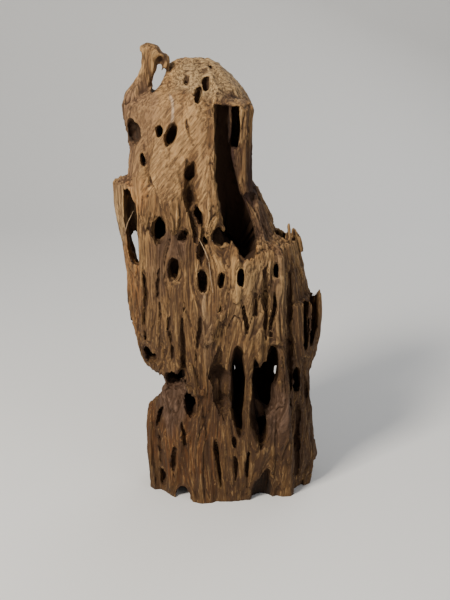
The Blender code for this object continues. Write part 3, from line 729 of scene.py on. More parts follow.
@dataclass
class RotForms:
    """The flakes that are joined to the trunk, and the chambers, holes and splits that are cut from it."""

    outline: Outline
    sides: int = TUNNEL_SIDES
    ring_step: float = TUNNEL_RING_STEP
    egg_segments: int = EGG_SEGMENTS
    egg_rings: int = EGG_RINGS

    def loft(self, name: str, rings: Sequence[Sequence[Vector]],
             group: bpy.types.Collection) -> bpy.types.Object:
        """A closed form through rings of equally many points.

        Args:
            name: The name of the form.
            rings: The rings, upwards.
            group: The collection it goes to.

        Returns:
            The form, extruded ring by ring from a filled circle.
        """
        sides = len(rings[0])
        Bench.clear_selection()
        bpy.ops.mesh.primitive_circle_add(vertices=sides, radius=1.0, fill_type="NGON")
        form = bpy.context.object
        bpy.ops.object.mode_set(mode="EDIT")
        bpy.ops.mesh.select_all(action="SELECT")
        for _ in rings[1:]:
            bpy.ops.mesh.extrude_region_move(TRANSFORM_OT_translate={"value": (0, 0, 1)})
        bpy.ops.object.mode_set(mode="OBJECT")
        start = Bench.points_of(form) * MM
        level = np.round(start[:, 2]).astype(int)
        turn = np.round(np.arctan2(start[:, 1], start[:, 0]) / (2 * math.pi) * sides).astype(int) % sides
        table = np.array([[tuple(point) for point in ring] for ring in rings])
        Bench.move_points(form, table[level, turn])
        bpy.ops.object.mode_set(mode="EDIT")
        bpy.ops.mesh.select_all(action="SELECT")
        bpy.ops.mesh.normals_make_consistent(inside=False)
        bpy.ops.object.mode_set(mode="OBJECT")
        return Bench.file_under(form, name, group)

    def upright(self, name: str, stations: Sequence[Station],
                group: bpy.types.Collection) -> bpy.types.Object:
        """An upright form of elliptical sections that wander a little, as rot does.

        Args:
            name: The name of the form.
            stations: Height, x, y, half width and half depth of each section.
            group: The collection it goes to.

        Returns:
            The form.
        """
        stations = sorted(stations)
        heights = Outline.heights(stations, self.ring_step)
        rings = []
        for height, (x, y, half_width, half_depth) in zip(heights, Outline.between(stations, heights)):
            ring = []
            for step in range(self.sides):
                angle = 2 * math.pi * step / self.sides
                place = (TUNNEL_WANDER_AROUND * math.cos(angle) + x, TUNNEL_WANDER_AROUND * math.sin(angle),
                         height / TUNNEL_WANDER_LENGTH)
                wander = 1 + TUNNEL_WANDER * noise.noise(Vector(place))
                ring.append(Vector((x + half_width * wander * math.cos(angle),
                                    y + half_depth * wander * math.sin(angle), height)))
            rings.append(ring)
        return self.loft(name, rings, group)

    def split(self, name: str, row: Sequence[Any], group: bpy.types.Collection) -> bpy.types.Object:
        """A narrow split that follows the trunk's face and tapers to both ends.

        Args:
            name: The name of the form.
            row: Its face, the x and height of its top, those of its foot, half width and half depth.
            group: The collection it goes to.

        Returns:
            The form.
        """
        face, top_x, top, foot_x, foot, half_width, half_depth = row
        rings = []
        for height in np.linspace(foot, top, max(SPLIT_FEWEST_RINGS, round((top - foot) / SPLIT_RING_STEP))):
            share = (height - foot) / (top - foot)
            swell = math.sin(math.pi * (SPLIT_END + (1 - 2 * SPLIT_END) * share))
            swell *= 1 + SPLIT_SWELL * noise.noise(Vector((foot_x, half_width, height / SPLIT_SWELL_LENGTH)))
            stray = SPLIT_STRAY * noise.noise(Vector((foot_x, half_width, height / SPLIT_STRAY_LENGTH)))
            x = foot_x + (top_x - foot_x) * share + stray
            y = self.outline.face_y(Face(face), x, height)
            angles = [2 * math.pi * step / SPLIT_SIDES for step in range(SPLIT_SIDES)]
            rings.append([Vector((x + half_width * swell * math.cos(angle),
                                  y + half_depth * swell * math.sin(angle), height)) for angle in angles])
        return self.loft(name, rings, group)

    def egg(self, name: str, row: Sequence[float], group: bpy.types.Collection) -> bpy.types.Object:
        """An uneven egg shape for a lump or a hole.

        Args:
            name: The name of the form.
            row: Its x, y, height, half width, half depth, half height, lean and dip.
            group: The collection it goes to.

        Returns:
            The form.
        """
        x, y, height, half_width, half_depth, half_height, lean, dip = row
        Bench.clear_selection()
        bpy.ops.mesh.primitive_uv_sphere_add(segments=self.egg_segments, ring_count=self.egg_rings,
                                             radius=1.0)
        form = bpy.context.object
        place = (
            Matrix.Translation((x, y, height))
            @ Matrix.Rotation(math.radians(-dip), 4, "X")
            @ Matrix.Rotation(math.radians(lean), 4, "Y")
            @ Matrix.Diagonal((half_width, half_depth, half_height, 1))
        )
        points = []
        for vertex in form.data.vertices:
            around = Vector((EGG_WANDER_ACROSS * vertex.co.x + x, EGG_WANDER_DEEP * vertex.co.y,
                             EGG_WANDER_ACROSS * vertex.co.z + height))
            points.append(tuple(place @ (vertex.co * (1 + EGG_WANDER * noise.noise(around)))))
        Bench.move_points(form, np.array(points))
        return Bench.file_under(form, name, group)

    def joined(self, group: bpy.types.Collection) -> None:
        """Builds the horn, tongues, spikes and flakes in a collection."""
        for name, stations in GROWTHS.items():
            self.upright(name, stations, group)
        for name, row in LUMPS.items():
            self.egg(name, row, group)

    def cut(self, group: bpy.types.Collection) -> None:
        """Builds the chambers, holes and splits in a collection."""
        for name, stations in CHAMBERS.items():
            self.upright(name, stations, group)
        for name, row in POCKETS.items():
            self.egg(name, row, group)
        for number, row in enumerate(SPLITS):
            self.split(f"split {number}", row, group)


@dataclass
class Grain:
    """The run of the fibres: up the trunk and round the holes, and aslant over the smooth upper face."""

    meander: float = 7.0
    meander_size: Size = (55.0, 55.0, 120.0)
    face_slant: float = math.radians(38)
    face_fade_left: float = 10.0
    face_fade_right: float = 8.0
    face_fade_low: float = 25.0
    face_fade_high: Climb = (14.0, 30.0)
    face_back: Climb = (-20.0, -5.0)
    widest_detour: float = 13.0
    detour_reach: float = 1.25
    detour_slenderness: Climb = (1.5, 4.0)
    detour_depth: float = 34.0
    detour_share: float = 0.8
    slant_start: Climb = (-74.0, -52.0)
    patch_size: Size = (14.0, 14.0, 40.0)
    patch_share: float = 0.5
    patch_edge: Climb = (0.35, 0.7)

    def smooth_face(self, points: Points) -> Points:
        """1 on the smooth upper face and 0 away from it."""
        left, right, low, high = SMOOTH_FACE
        below, above = self.face_fade_high
        x, y, height = points.T
        shown = ease(x, left, left + self.face_fade_left) * (1 - ease(x, right - self.face_fade_right, right))
        shown = shown * ease(height, low, low + self.face_fade_low)
        shown = shown * (1 - ease(height, high - below, high + above))
        return shown * (1 - ease(y, *self.face_back))

    def coordinates(self, points: Points) -> Points:
        """Places in the upright grain, where a fibre keeps its x and y from end to end.

        Args:
            points: One row for each place.

        Returns:
            One row for each place, in millimetres.
        """
        result = points.astype(np.float32).copy()
        result[:, 0] += self.meander * rot_noise(points, self.meander_size, Pattern.MEANDER_ACROSS)
        result[:, 1] += self.meander * rot_noise(points, self.meander_size, Pattern.MEANDER_DEEP)
        shortest, longest = self.detour_slenderness
        for x, y, height, half_width, half_depth, half_height, _, _ in POCKETS.values():
            axis = 0 if half_width <= half_depth else 1
            reach = min((half_width, half_depth)[axis] * self.detour_reach, self.widest_detour)
            length = reach * min(max(half_height / reach, shortest), longest)
            across = points[:, axis] - (x, y)[axis]
            other = points[:, 1 - axis] - (x, y)[1 - axis]
            spread = (across / reach) ** 2 + ((points[:, 2] - height) / length) ** 2
            spread = spread + (other / self.detour_depth) ** 2
            result[:, axis] -= self.detour_share * across / np.maximum(spread, 1)
        return result

    def aslant(self, points: Points) -> Points:
        """Places in the slanting grain of the smooth upper face.

        Args:
            points: One row for each place.

        Returns:
            One row for each place, in millimetres.
        """
        result = points.astype(np.float32).copy()
        result[:, 0] += self.meander * rot_noise(points, self.meander_size, Pattern.SLANT_MEANDER)
        turn = np.array([[math.cos(self.face_slant), 0, math.sin(self.face_slant)], [0, 1, 0],
                         [-math.sin(self.face_slant), 0, math.cos(self.face_slant)]])
        return result @ turn

    def slanting(self, points: Points) -> Points:
        """How far the slanting grain shows at each point, in patches."""
        patch = rot_noise(points, self.patch_size, Pattern.PATCH)
        shown = self.smooth_face(points) * ease(points[:, 0], *self.slant_start)
        return ease(shown + self.patch_share * patch, *self.patch_edge)


@dataclass
class Trunk:
    """The whole piece of wood, with its torn fibre, its grain and what its colours follow."""

    outline: Outline
    forms: RotForms
    grain: Grain
    voxel: float = 1.05
    wanted_triangles: int = 190_000
    inner_share: float = 0.25
    hidden_depth: Climb = (12.0, 22.0)
    ridge_steps: int = 50
    thinning_steps: int = 10
    slender_calm: float = 0.6
    crown: Climb = (348.0, 364.0)
    crown_calm: float = 0.45
    torn_ends: tuple[Size, ...] = ((2.0, 3.6, 80.0), (1.5, 2.0, 60.0))
    torn_foot: Climb = (2.0, 14.0)
    torn_crown: Climb = (325.0, 355.0)
    torn_crown_calm: float = 0.85
    torn_face_calm: float = 0.45
    torn_drift: float = 1.2
    drift_size: Size = (26.0, 26.0, 34.0)
    grain_foot: Climb = (1.0, 8.0)
    grain_slender_calm: float = 0.5
    wide_size: Size = (9.5, 9.5, 130.0)
    wide_relief: Size = (0.6, 1.5, 0.05)
    wide_face_calm: float = 0.8
    middle_size: Size = (4.4, 4.4, 70.0)
    brushed_middle_size: Size = (4.4, 4.4, 60.0)
    middle_relief: Size = (0.6, 0.85, 0.07)
    middle_face_calm: float = 0.75
    fine_size: Size = (2.3, 2.3, 34.0)
    fine_height: float = 0.5
    fine_level_calm: float = 0.25
    fine_face_calm: float = 0.35
    grit_size: Size = (2.6, 2.6, 3.4)
    grit_height: float = 0.22
    level_normals: Climb = (0.4, 0.85)
    level_calm: float = 0.82
    near_rounds: int = 6
    far_rounds: int = 40
    # Painted shade in the grooves.
    groove_shade_depths: Climb = (0.45, 1.8)
    groove_shade_shares: Climb = (0.6, 0.6)
    # Painted highlight, with worn pale wood, on the crests.
    crest_wear_and_highlight_heights: Climb = (0.5, 2.0)
    crest_wear_and_highlight_shares: Climb = (0.6, 0.4)
    # Painted shade: how deep inside the outline the hollows darken.
    hollow_shade_depth: Climb = (6.0, 17.0)
    face_depth: Climb = (2.0, 8.0)
    sound_place: Size = (30.0, -52.0, 172.0)
    name: str = "trunk_wood"
    obj: bpy.types.Object | None = None

    def ridged_texture(self) -> bpy.types.Texture:
        """The ridged noise of the solid's own large grain."""
        texture = bpy.data.textures.new("weathered grain", "MUSGRAVE")
        texture.musgrave_type = "RIDGED_MULTIFRACTAL"
        texture.noise_scale = 1.0
        texture.octaves = 2.0
        texture.dimension_max = 1.0
        texture.lacunarity = 2.1
        texture.offset = 0.9
        texture.gain = 1.2
        texture.noise_intensity = 0.45
        return texture

    def cut_out(self) -> None:
        """Joins the flakes to the outline and cuts the rot from it."""
        additions = bpy.data.collections.new("flakes and horn")
        cutters = bpy.data.collections.new("rot and splits")
        for group in (additions, cutters):
            bpy.context.scene.collection.children.link(group)
        self.forms.joined(additions)
        self.forms.cut(cutters)
        holder = bpy.data.collections.new("wood")
        bpy.context.scene.collection.children.link(holder)
        self.obj = self.forms.loft(self.name, self.outline.rings(), holder)
        for operation, group in (("UNION", additions), ("DIFFERENCE", cutters)):
            boolean = self.obj.modifiers.new(operation.lower(), "BOOLEAN")
            boolean.operation = operation
            boolean.operand_type = "COLLECTION"
            boolean.collection = group
            boolean.solver = "EXACT"
            Bench.finish(self.obj, boolean)
        for group in (additions, cutters):
            for form in list(group.objects):
                bpy.data.objects.remove(form)
            bpy.data.collections.remove(group)

    def even_out(self) -> None:
        """Gives the wood an even fine mesh."""
        remesh = self.obj.modifiers.new("even mesh", "REMESH")
        remesh.mode = "VOXEL"
        remesh.voxel_size = self.voxel * MM
        Bench.finish(self.obj, remesh)
        self.drop_crumbs()

    def drop_crumbs(self) -> None:
        """Keeps what hangs together with the front wall and drops the crumbs that the cuts left loose."""
        away = np.linalg.norm(Bench.points_of(self.obj) - np.array(self.sound_place), axis=1)
        chosen = np.zeros(len(away), bool)
        chosen[away.argmin()] = True
        Bench.choose(self.obj)
        bpy.ops.object.mode_set(mode="EDIT")
        bpy.ops.mesh.select_mode(type="VERT")
        bpy.ops.mesh.select_all(action="DESELECT")
        bpy.ops.object.mode_set(mode="OBJECT")
        self.obj.data.vertices.foreach_set("select", chosen)
        bpy.ops.object.mode_set(mode="EDIT")
        bpy.ops.mesh.select_linked()
        bpy.ops.mesh.select_all(action="INVERT")
        bpy.ops.mesh.delete(type="VERT")
        bpy.ops.object.mode_set(mode="OBJECT")

    def ridge(self) -> None:
        """Raises the solid's large ridges, lower on slender forms and on the crown."""
        points = Bench.points_of(self.obj)
        depth = (1 - (1 - SMOOTH_FACE_GRAIN) * self.grain.smooth_face(points))
        depth = depth * ease(points[:, 2], 0, FOOT_FADE)
        slender_share = 1 - self.slender_calm * self.slender(points)
        depth *= slender_share * (1 - self.crown_calm * ease(points[:, 2], *self.crown))
        group = Bench.weigh(self.obj, "grain depth", depth, self.ridge_steps)
        bpy.ops.object.empty_add(location=[place * MM for place in GRAIN_START])
        space = bpy.context.object
        space.scale = (GRAIN_WIDTH * MM, GRAIN_WIDTH * MM, GRAIN_LENGTH * MM)
        space.rotation_euler = (math.radians(GRAIN_TILT[0]), math.radians(GRAIN_TILT[1]), 0)
        bpy.context.view_layer.update()
        ridges = self.obj.modifiers.new("ridged grain", "DISPLACE")
        ridges.texture = self.ridged_texture()
        ridges.texture_coords = "OBJECT"
        ridges.texture_coords_object = space
        ridges.strength = GRAIN_DEPTH * MM
        ridges.mid_level = GRAIN_LEVEL
        ridges.vertex_group = group.name
        Bench.finish(self.obj, ridges)
        self.obj.vertex_groups.clear()
        bpy.data.objects.remove(space)

    def tear(self) -> None:
        """Shifts the fibres along the grain by bundles, so that rims and tips end torn."""
        points = Bench.points_of(self.obj)
        crown_share = 1 - self.torn_crown_calm * ease(points[:, 2], *self.torn_crown)
        held = ease(points[:, 2], *self.torn_foot) * crown_share
        shift = np.zeros(len(points), np.float32)
        for height, width, length in self.torn_ends:
            shift += height * rot_noise(points, (width, width, length), Pattern.TORN_ENDS)
        moved = points.copy()
        moved[:, 2] += held * shift * (1 - self.torn_face_calm * self.grain.smooth_face(points))
        for axis in (0, 1):
            drift = rot_noise(points, self.drift_size, Pattern.TORN_DRIFT + axis)
            moved[:, axis] += held * self.torn_drift * drift
        Bench.move_points(self.obj, moved)

    @staticmethod
    def slender(points: Points) -> Points:
        """1 on the horn and the outer flakes, which are too thin for deep grain, and 0 away from them."""
        x, _, height = points.T
        horn = ease(height, *HORN_FOOT) * (1 - ease(x, *HORN_SIDE))
        left = (1 - ease(x, *LEFT_FLAKE_SIDE)) * ease(height, *LEFT_FLAKE_FOOT)
        left = left * (1 - ease(height, *LEFT_FLAKE_TOP))
        right = ease(x, *RIGHT_FLAKE_SIDE) * ease(height, *RIGHT_FLAKE_FOOT)
        return np.maximum(np.maximum(horn, left), right)

    def open_grain(self) -> None:
        """Cuts the cracks and raises the fibres that follow the run of the grain."""
        points = Bench.points_of(self.obj)
        normals = Bench.normals_of(self.obj)
        run = self.grain.coordinates(points)
        smooth = self.grain.smooth_face(points)
        held = ease(points[:, 2], *self.grain_foot) * (1 - self.grain_slender_calm * self.slender(points))
        slant = self.grain.slanting(points)
        brushed = self.grain.aslant(points)
        wide = rot_noise(run, self.wide_size, Pattern.WIDE)
        middle = (1 - slant) * rot_noise(run, self.middle_size, Pattern.MIDDLE)
        middle = middle + slant * rot_noise(brushed, self.brushed_middle_size, Pattern.BRUSHED_MIDDLE)
        fine = (1 - slant) * rot_noise(run, self.fine_size, Pattern.FINE)
        fine = fine + slant * rot_noise(brushed, self.fine_size, Pattern.BRUSHED_FINE)
        grit = rot_noise(points, self.grit_size, Pattern.GRIT)
        height = (1 - self.wide_face_calm * smooth) * grown(wide, self.wide_relief)
        height = height + (1 - self.middle_face_calm * smooth) * grown(middle, self.middle_relief)
        level = ease(normals[:, 2], *self.level_normals)
        height *= 1 - self.level_calm * level
        fine_share = (1 - self.fine_face_calm * smooth) * (self.fine_height - self.fine_level_calm * level)
        height += fine_share * fine + self.grit_height * grit
        Bench.move_points(self.obj, points + normals * (held * height)[:, None])

    def thin_out(self) -> None:
        """Thins the mesh deep inside.

        Decimate leaves the outer vertices alone, because they have no weight once the group is turned round.
        So the piece keeps about 570,000 triangles, far more than the wanted number that gives the ratio.
        """
        hidden = ease(self.outline.depth_inside(Bench.points_of(self.obj)), *self.hidden_depth)
        kept = 1 - (1 - self.inner_share) * hidden
        group = Bench.weigh(self.obj, "keep", kept, self.thinning_steps)
        faces = sum(len(face.vertices) - 2 for face in self.obj.data.polygons)
        LOG.info("wood has %d triangles before it is thinned", faces)
        thin = self.obj.modifiers.new("fewer faces", "DECIMATE")
        thin.ratio = min(1.0, self.wanted_triangles / faces)
        thin.vertex_group = group.name
        thin.vertex_group_factor = 1.0
        thin.invert_vertex_group = True
        Bench.finish(self.obj, thin)
        self.obj.vertex_groups.clear()

    def level_feet(self) -> None:
        """Trims the feet to the ground."""
        Bench.clear_selection()
        size = (GROUND_WIDTH * MM, GROUND_WIDTH * MM, GROUND_THICKNESS * MM)
        bpy.ops.mesh.primitive_cube_add(size=1.0, location=(0, 0, -size[2] / 2), scale=size)
        ground = bpy.context.object
        level = self.obj.modifiers.new("level feet", "BOOLEAN")
        level.operation = "DIFFERENCE"
        level.object = ground
        level.solver = "MANIFOLD"
        Bench.finish(self.obj, level)
        bpy.data.objects.remove(ground)

    def zone(self, points: Points, kind: str) -> Points:
        """How far each point lies in the zones of one kind: stains, painted shade and painted light.

        Args:
            points: One row for each place.
            kind: The kind of zone.

        Returns:
            0 outside, 1 well inside.
        """
        wobble = rot_noise(points, ZONE_WOBBLE_SIZE, Pattern.STAIN_EDGE)[:, None] * np.array(ZONE_WOBBLE)
        total = np.zeros(len(points), np.float32)
        for row in STAINS_AND_PAINTED_LIGHT[kind]:
            middle, halves, strength = np.array(row[:3]), np.array(row[3:6]), row[6]
            away = np.linalg.norm((points + wobble - middle) / halves, axis=1)
            total = np.maximum(total, strength * (1 - ease(away, *ZONE_FADE)))
        return total

    @staticmethod
    def standing_out(near: Points, far: Points, heights: Climb, shares: Climb) -> Points:
        """How far each vertex stands out.

        Args:
            near: How high it stands over its close surroundings.
            far: How high it stands over its wider ones.
            heights: The height that counts in full, for each of the two.
            shares: The weight of each of the two.

        Returns:
            0 where it lies level or lower.
        """
        close = np.clip(near / heights[0], 0, 1) * shares[0]
        return close + np.clip(far / heights[1], 0, 1) * shares[1]

    def read_surface(self) -> None:
        """Stores what the colours follow: the grain, the painted shade of the hollows and grooves, the
        painted highlight and worn pale of the crests, and the stains, painted shade and painted light of the
        zones.
        """
        points = Bench.points_of(self.obj)
        normals = Bench.normals_of(self.obj)
        edges = Bench.edges_of(self.obj)
        near = ((points - soften(points, edges, self.near_rounds)) * normals).sum(axis=1)
        far = ((points - soften(points, edges, self.far_rounds)) * normals).sum(axis=1)
        depth = self.outline.depth_inside(points)
        # Painted shade where a vertex lies lower than its surroundings, and painted highlight with worn pale
        # wood where it stands out.
        groove_shade = self.standing_out(-near, -far, self.groove_shade_depths, self.groove_shade_shares)
        crest_wear_and_highlight = self.standing_out(near, far, self.crest_wear_and_highlight_heights, self.crest_wear_and_highlight_shares)
        face = self.grain.smooth_face(points) * (1 - ease(depth, *self.face_depth))
        Bench.add_vectors(self.obj, "grain", self.grain.coordinates(points) * MM)
        Bench.add_vectors(self.obj, "brushed", self.grain.aslant(points) * MM)
        Bench.add_values(self.obj, "slanting", self.grain.slanting(points))
        Bench.add_values(self.obj, "groove_shade", groove_shade)
        Bench.add_values(self.obj, "crest_wear_and_highlight", crest_wear_and_highlight)
        # Painted shade: the deeper inside the outline, the darker.
        Bench.add_values(self.obj, "hollow", ease(depth, *self.hollow_shade_depth))
        Bench.add_values(self.obj, "face", face)
        for kind in sorted(STAINS_AND_PAINTED_LIGHT):
            Bench.add_values(self.obj, kind, self.zone(points, kind))

    def build(self) -> bpy.types.Object:
        """Builds the wood.

        Returns:
            The finished mesh object, without its colours.
        """
        self.cut_out()
        self.even_out()
        self.ridge()
        self.tear()
        self.open_grain()
        self.thin_out()
        self.level_feet()
        self.drop_crumbs()
        self.read_surface()
        Bench.choose(self.obj)
        bpy.ops.object.shade_smooth()
        return self.obj


# What a socket takes: a wire, a number or a colour.
Operand = Any


class Wire:
    """A socket that takes part in Python expressions, which become Math nodes."""

    def __init__(self, desk: "NodeDesk", socket: bpy.types.NodeSocket) -> None:
        """Wraps a socket of one material."""
        self.desk = desk
        self.socket = socket

    def _math(self, operation: str, first: Operand, second: Operand, clamp: bool = False) -> "Wire":
        """One Math node on two operands."""
        settings = {"operation": operation, "use_clamp": clamp}
        return self.desk.add("ShaderNodeMath", settings, {0: first, 1: second})

    def __add__(self, other: Operand) -> "Wire":
        """This plus the other."""
        return self._math("ADD", self, other)

    __radd__ = __add__

    def __mul__(self, other: Operand) -> "Wire":
        """This times the other."""
        return self._math("MULTIPLY", self, other)

    __rmul__ = __mul__

    def __sub__(self, other: Operand) -> "Wire":
        """This less the other."""
        return self._math("SUBTRACT", self, other)

    def __rsub__(self, other: Operand) -> "Wire":
        """The other less this."""
        return self._math("SUBTRACT", other, self)

    def clamped(self) -> "Wire":
        """This kept between 0 and 1."""
        return self._math("ADD", self, 0.0, clamp=True)

    def over(self, low: float, high: float) -> "Wire":
        """0 below the low value, 1 above the high one and smooth between them."""
        settings = {"interpolation_type": "SMOOTHSTEP", "clamp": True}
        inputs = {"Value": self, "From Min": low, "From Max": high}
        return self.desk.add("ShaderNodeMapRange", settings, inputs)


class NodeDesk:
    """Adds the nodes of one material."""

    def __init__(self, name: str) -> None:
        """Starts a material that has only its shader and output."""
        self.material = bpy.data.materials.new(name)
        self.material.use_nodes = True
        self.tree = self.material.node_tree
        self.shader = self.tree.nodes["Principled BSDF"]

    def add(self, kind: str, settings: dict[str, Any], inputs: dict[Any, Operand], output: Any = 0) -> Wire:
        """Adds one node.

        Args:
            kind: The node's type.
            settings: Its own settings, which are set first.
            inputs: The values or links of its sockets.
            output: The name or number of the output that is returned.

        Returns:
            That output.
        """
        node = self.tree.nodes.new(kind)
        for key, value in settings.items():
            setattr(node, key, value)
        for key, value in inputs.items():
            self.feed(node.inputs[key], value)
        return Wire(self, node.outputs[output])

    def feed(self, socket: bpy.types.NodeSocket, value: Operand) -> None:
        """Links a wire to a socket, or sets its value."""
        if isinstance(value, Wire):
            self.tree.links.new(value.socket, socket)
        else:
            socket.default_value = value

    def attribute(self, name: str, output: str = "Fac") -> Wire:
        """What the mesh stores under a name."""
        return self.add("ShaderNodeAttribute", {"attribute_name": name}, {}, output)

    def stretched(self, place: Wire, scale: Sequence[float], detail: float, rough: float = 0.55) -> Wire:
        """Noise in a stretched space.

        Args:
            place: The vector it follows.
            scale: Cells to a metre in x, y and z.
            detail: The noise's detail.
            rough: The noise's roughness.

        Returns:
            A value between 0 and 1.
        """
        scaled = self.add("ShaderNodeVectorMath", {"operation": "MULTIPLY"}, {0: place, 1: tuple(scale)})
        inputs = {"Vector": scaled, "Scale": 1.0, "Detail": detail, "Roughness": rough}
        return self.add("ShaderNodeTexNoise", {}, inputs)

    def either(self, share: Operand, first: Operand, second: Operand) -> Wire:
        """A mix of two numbers by the share of the second."""
        return self.add("ShaderNodeMix", {"data_type": "FLOAT"}, {0: share, 2: first, 3: second})

    def blend(self, share: Operand, first: Operand, second: Operand, mode: str = "MIX") -> Wire:
        """A mix of two colours.

        Args:
            share: How much of the second.
            first: A colour or a wire.
            second: A colour or a wire.
            mode: How they are mixed.

        Returns:
            The mixed colour.
        """
        settings = {"data_type": "RGBA", "blend_type": mode}
        return self.add("ShaderNodeMix", settings, {0: share, 6: first, 7: second}, 2)


Colour = tuple[float, float, float, float]


@dataclass(frozen=True)
class WeatheredWood:
    """Dry rotted wood: tan crests with a painted highlight, brown grain, dark cracks, stains, and painted
    shade in its hollows, grooves and openings.
    """

    tan: Colour = (0.385, 0.225, 0.092, 1)
    straw: Colour = (0.500, 0.320, 0.140, 1)
    brown: Colour = (0.175, 0.090, 0.036, 1)
    pale: Colour = (0.560, 0.430, 0.310, 1)
    umber: Colour = (0.045, 0.022, 0.010, 1)
    # Near black for painted shade in the hollows and openings, and for the cracks.
    shade_and_crack_black: Colour = (0.008, 0.004, 0.002, 1)
    plum: Colour = (0.130, 0.078, 0.052, 1)
    russet: Colour = (0.027, 0.011, 0.008, 1)
    rust: Colour = (0.400, 0.150, 0.030, 1)
    ash: Colour = (0.185, 0.108, 0.068, 1)
    dust: Colour = (0.430, 0.300, 0.155, 1)
    worn: Colour = (0.345, 0.205, 0.092, 1)
    # Darker towards the foot.
    foot_darkening: Colour = (0.245, 0.205, 0.158, 1)
    # Multiplied in as painted shade.
    shaded: Colour = (0.30, 0.24, 0.19, 1)
    roughness: float = 0.82
    roughness_swing: float = 0.25
    specular: float = 0.28
    bump_strength: float = 0.85
    bump_distance: float = 0.0013
    foot_darkening_heights: Climb = (0.09, 0.285)
    foot_darkening_wander: float = 0.08
    board_cells: Size = (95, 95, 7)
    strand_cells: Size = (330, 330, 16)
    brushed_strand_cells: Size = (330, 330, 20)
    fibre_cells: Size = (560, 560, 22)
    brushed_fibre_cells: Size = (560, 560, 26)
    fibre_rough: float = 0.62
    hair_cells: Size = (900, 900, 26)
    brushed_hair_cells: Size = (1000, 1000, 40)
    hair_rough: float = 0.65
    patch_cells: Size = (30, 30, 18)
    grit_cells: Size = (900, 900, 700)
    check_cells: Size = (460, 460, 26)

    def weave(self, desk: NodeDesk, place: Wire) -> dict[str, Wire]:
        """The noises that run with the grain, from broad boards to fine hairs.

        Args:
            desk: Where the nodes go.
            place: The object's own coordinates.

        Returns:
            The noises by name, each between 0 and 1.
        """
        run, brushed = desk.attribute("grain", "Vector"), desk.attribute("brushed", "Vector")
        slanting = desk.attribute("slanting")
        return {
            "board": desk.stretched(run, self.board_cells, 3),
            "strand": desk.either(slanting, desk.stretched(run, self.strand_cells, 4),
                                  desk.stretched(brushed, self.brushed_strand_cells, 3)),
            "fibre": desk.either(slanting, desk.stretched(run, self.fibre_cells, 3, self.fibre_rough),
                                 desk.stretched(brushed, self.brushed_fibre_cells, 3, self.fibre_rough)),
            "hair": desk.either(slanting, desk.stretched(run, self.hair_cells, 3, self.hair_rough),
                                desk.stretched(brushed, self.brushed_hair_cells, 3, self.hair_rough)),
            "patch": desk.stretched(place, self.patch_cells, 3),
            "grit": desk.stretched(place, self.grit_cells, 2),
            "check": desk.stretched(run, self.check_cells, 3),
        }

    def dry_wood(self, desk: NodeDesk, place: Wire, weave: dict[str, Wire]) -> Wire:
        """The colour of the outer wood, with the painted shade and painted light of its zones, before its
        dark fibres and the painted shade of its hollows.

        Args:
            desk: Where the nodes go.
            place: The object's own coordinates.
            weave: The noises by name.

        Returns:
            The colour.
        """
        board, strand, patch = weave["board"], weave["strand"], weave["patch"]
        up = desk.add("ShaderNodeSeparateXYZ", {}, {"Vector": place}, "Z")
        # The share that is darkened towards the foot.
        lower = 1 - (up + (board - 0.5) * self.foot_darkening_wander).over(*self.foot_darkening_heights)
        colour = desk.blend(board.over(0.38, 0.62), self.brown, self.tan)
        colour = desk.blend(strand.over(0.50, 0.72) * 0.75, colour, self.straw)
        colour = desk.blend(patch.over(0.55, 0.75) * 0.45, colour, self.ash)
        colour = desk.blend(desk.attribute("ash") * 0.8, colour, self.ash)
        colour = desk.blend(desk.attribute("rust") * strand.over(0.35, 0.6), colour, self.rust)
        colour = desk.blend(desk.attribute("face") * 0.5, colour, self.worn)
        # Dust, and painted light where the zone brightens the front right and the left flake.
        colour = desk.blend(desk.attribute("dust") * 0.75, colour, self.dust)
        # Painted highlight on the crests, with their worn pale wood.
        colour = desk.blend(desk.attribute("crest_wear_and_highlight") * 0.45, colour, self.straw)
        colour = desk.blend(desk.attribute("pale") * (0.45 + strand * 0.4), colour, self.pale)
        # Painted shade from the shade zones.
        colour = desk.blend(desk.attribute("shade") * 0.8, colour, self.shaded, "MULTIPLY")
        return desk.blend(lower, colour, self.foot_darkening, "MULTIPLY")

    def fibrous(self, desk: NodeDesk, colour: Wire, weave: dict[str, Wire]) -> Wire:
        """The colour with its dark gaps and light fibres, which are weaker on the smooth face.

        Args:
            desk: Where the nodes go.
            colour: The colour so far.
            weave: The noises by name.

        Returns:
            The colour.
        """
        face, strand, fibre, hair = desk.attribute("face"), weave["strand"], weave["fibre"], weave["hair"]
        colour = desk.blend((1 - strand.over(0.32, 0.48)) * (1 - face * 0.6) * 0.85, colour, self.umber)
        colour = desk.blend((1 - fibre.over(0.36, 0.56)) * (1 - face * 0.35) * 0.8, colour, self.umber)
        colour = desk.blend(fibre.over(0.56, 0.72) * 0.35, colour, self.straw)
        colour = desk.blend((1 - hair.over(0.34, 0.50)) * 0.62, colour, self.umber)
        return desk.blend(hair.over(0.54, 0.68) * 0.28, colour, self.straw)

    def rotted(self, desk: NodeDesk, colour: Wire, weave: dict[str, Wire]) -> Wire:
        """The colour with the painted shade of its hollows, grooves and openings, its stains and its checks.

        Args:
            desk: Where the nodes go.
            colour: The colour so far.
            weave: The noises by name.

        Returns:
            The colour.
        """
        strand, fibre = weave["strand"], weave["fibre"]
        # Painted shade in the hollows.
        hollow_shade_tones = desk.blend(strand.over(0.4, 0.6), self.shade_and_crack_black, self.umber)
        colour = desk.blend(desk.attribute("hollow"), colour, hollow_shade_tones)
        # The reddish channel, with painted shade on its inner right wall.
        reddish = desk.blend(strand.over(0.4, 0.65), self.russet, self.umber)
        colour = desk.blend(desk.attribute("red"), colour, reddish)
        # Painted shade: near black in the openings.
        colour = desk.blend(desk.attribute("black") * 0.92, colour, self.shade_and_crack_black)
        plum = desk.blend(fibre.over(0.35, 0.7), self.umber, self.plum)
        colour = desk.blend(desk.attribute("plum") * 0.9, colour, plum)
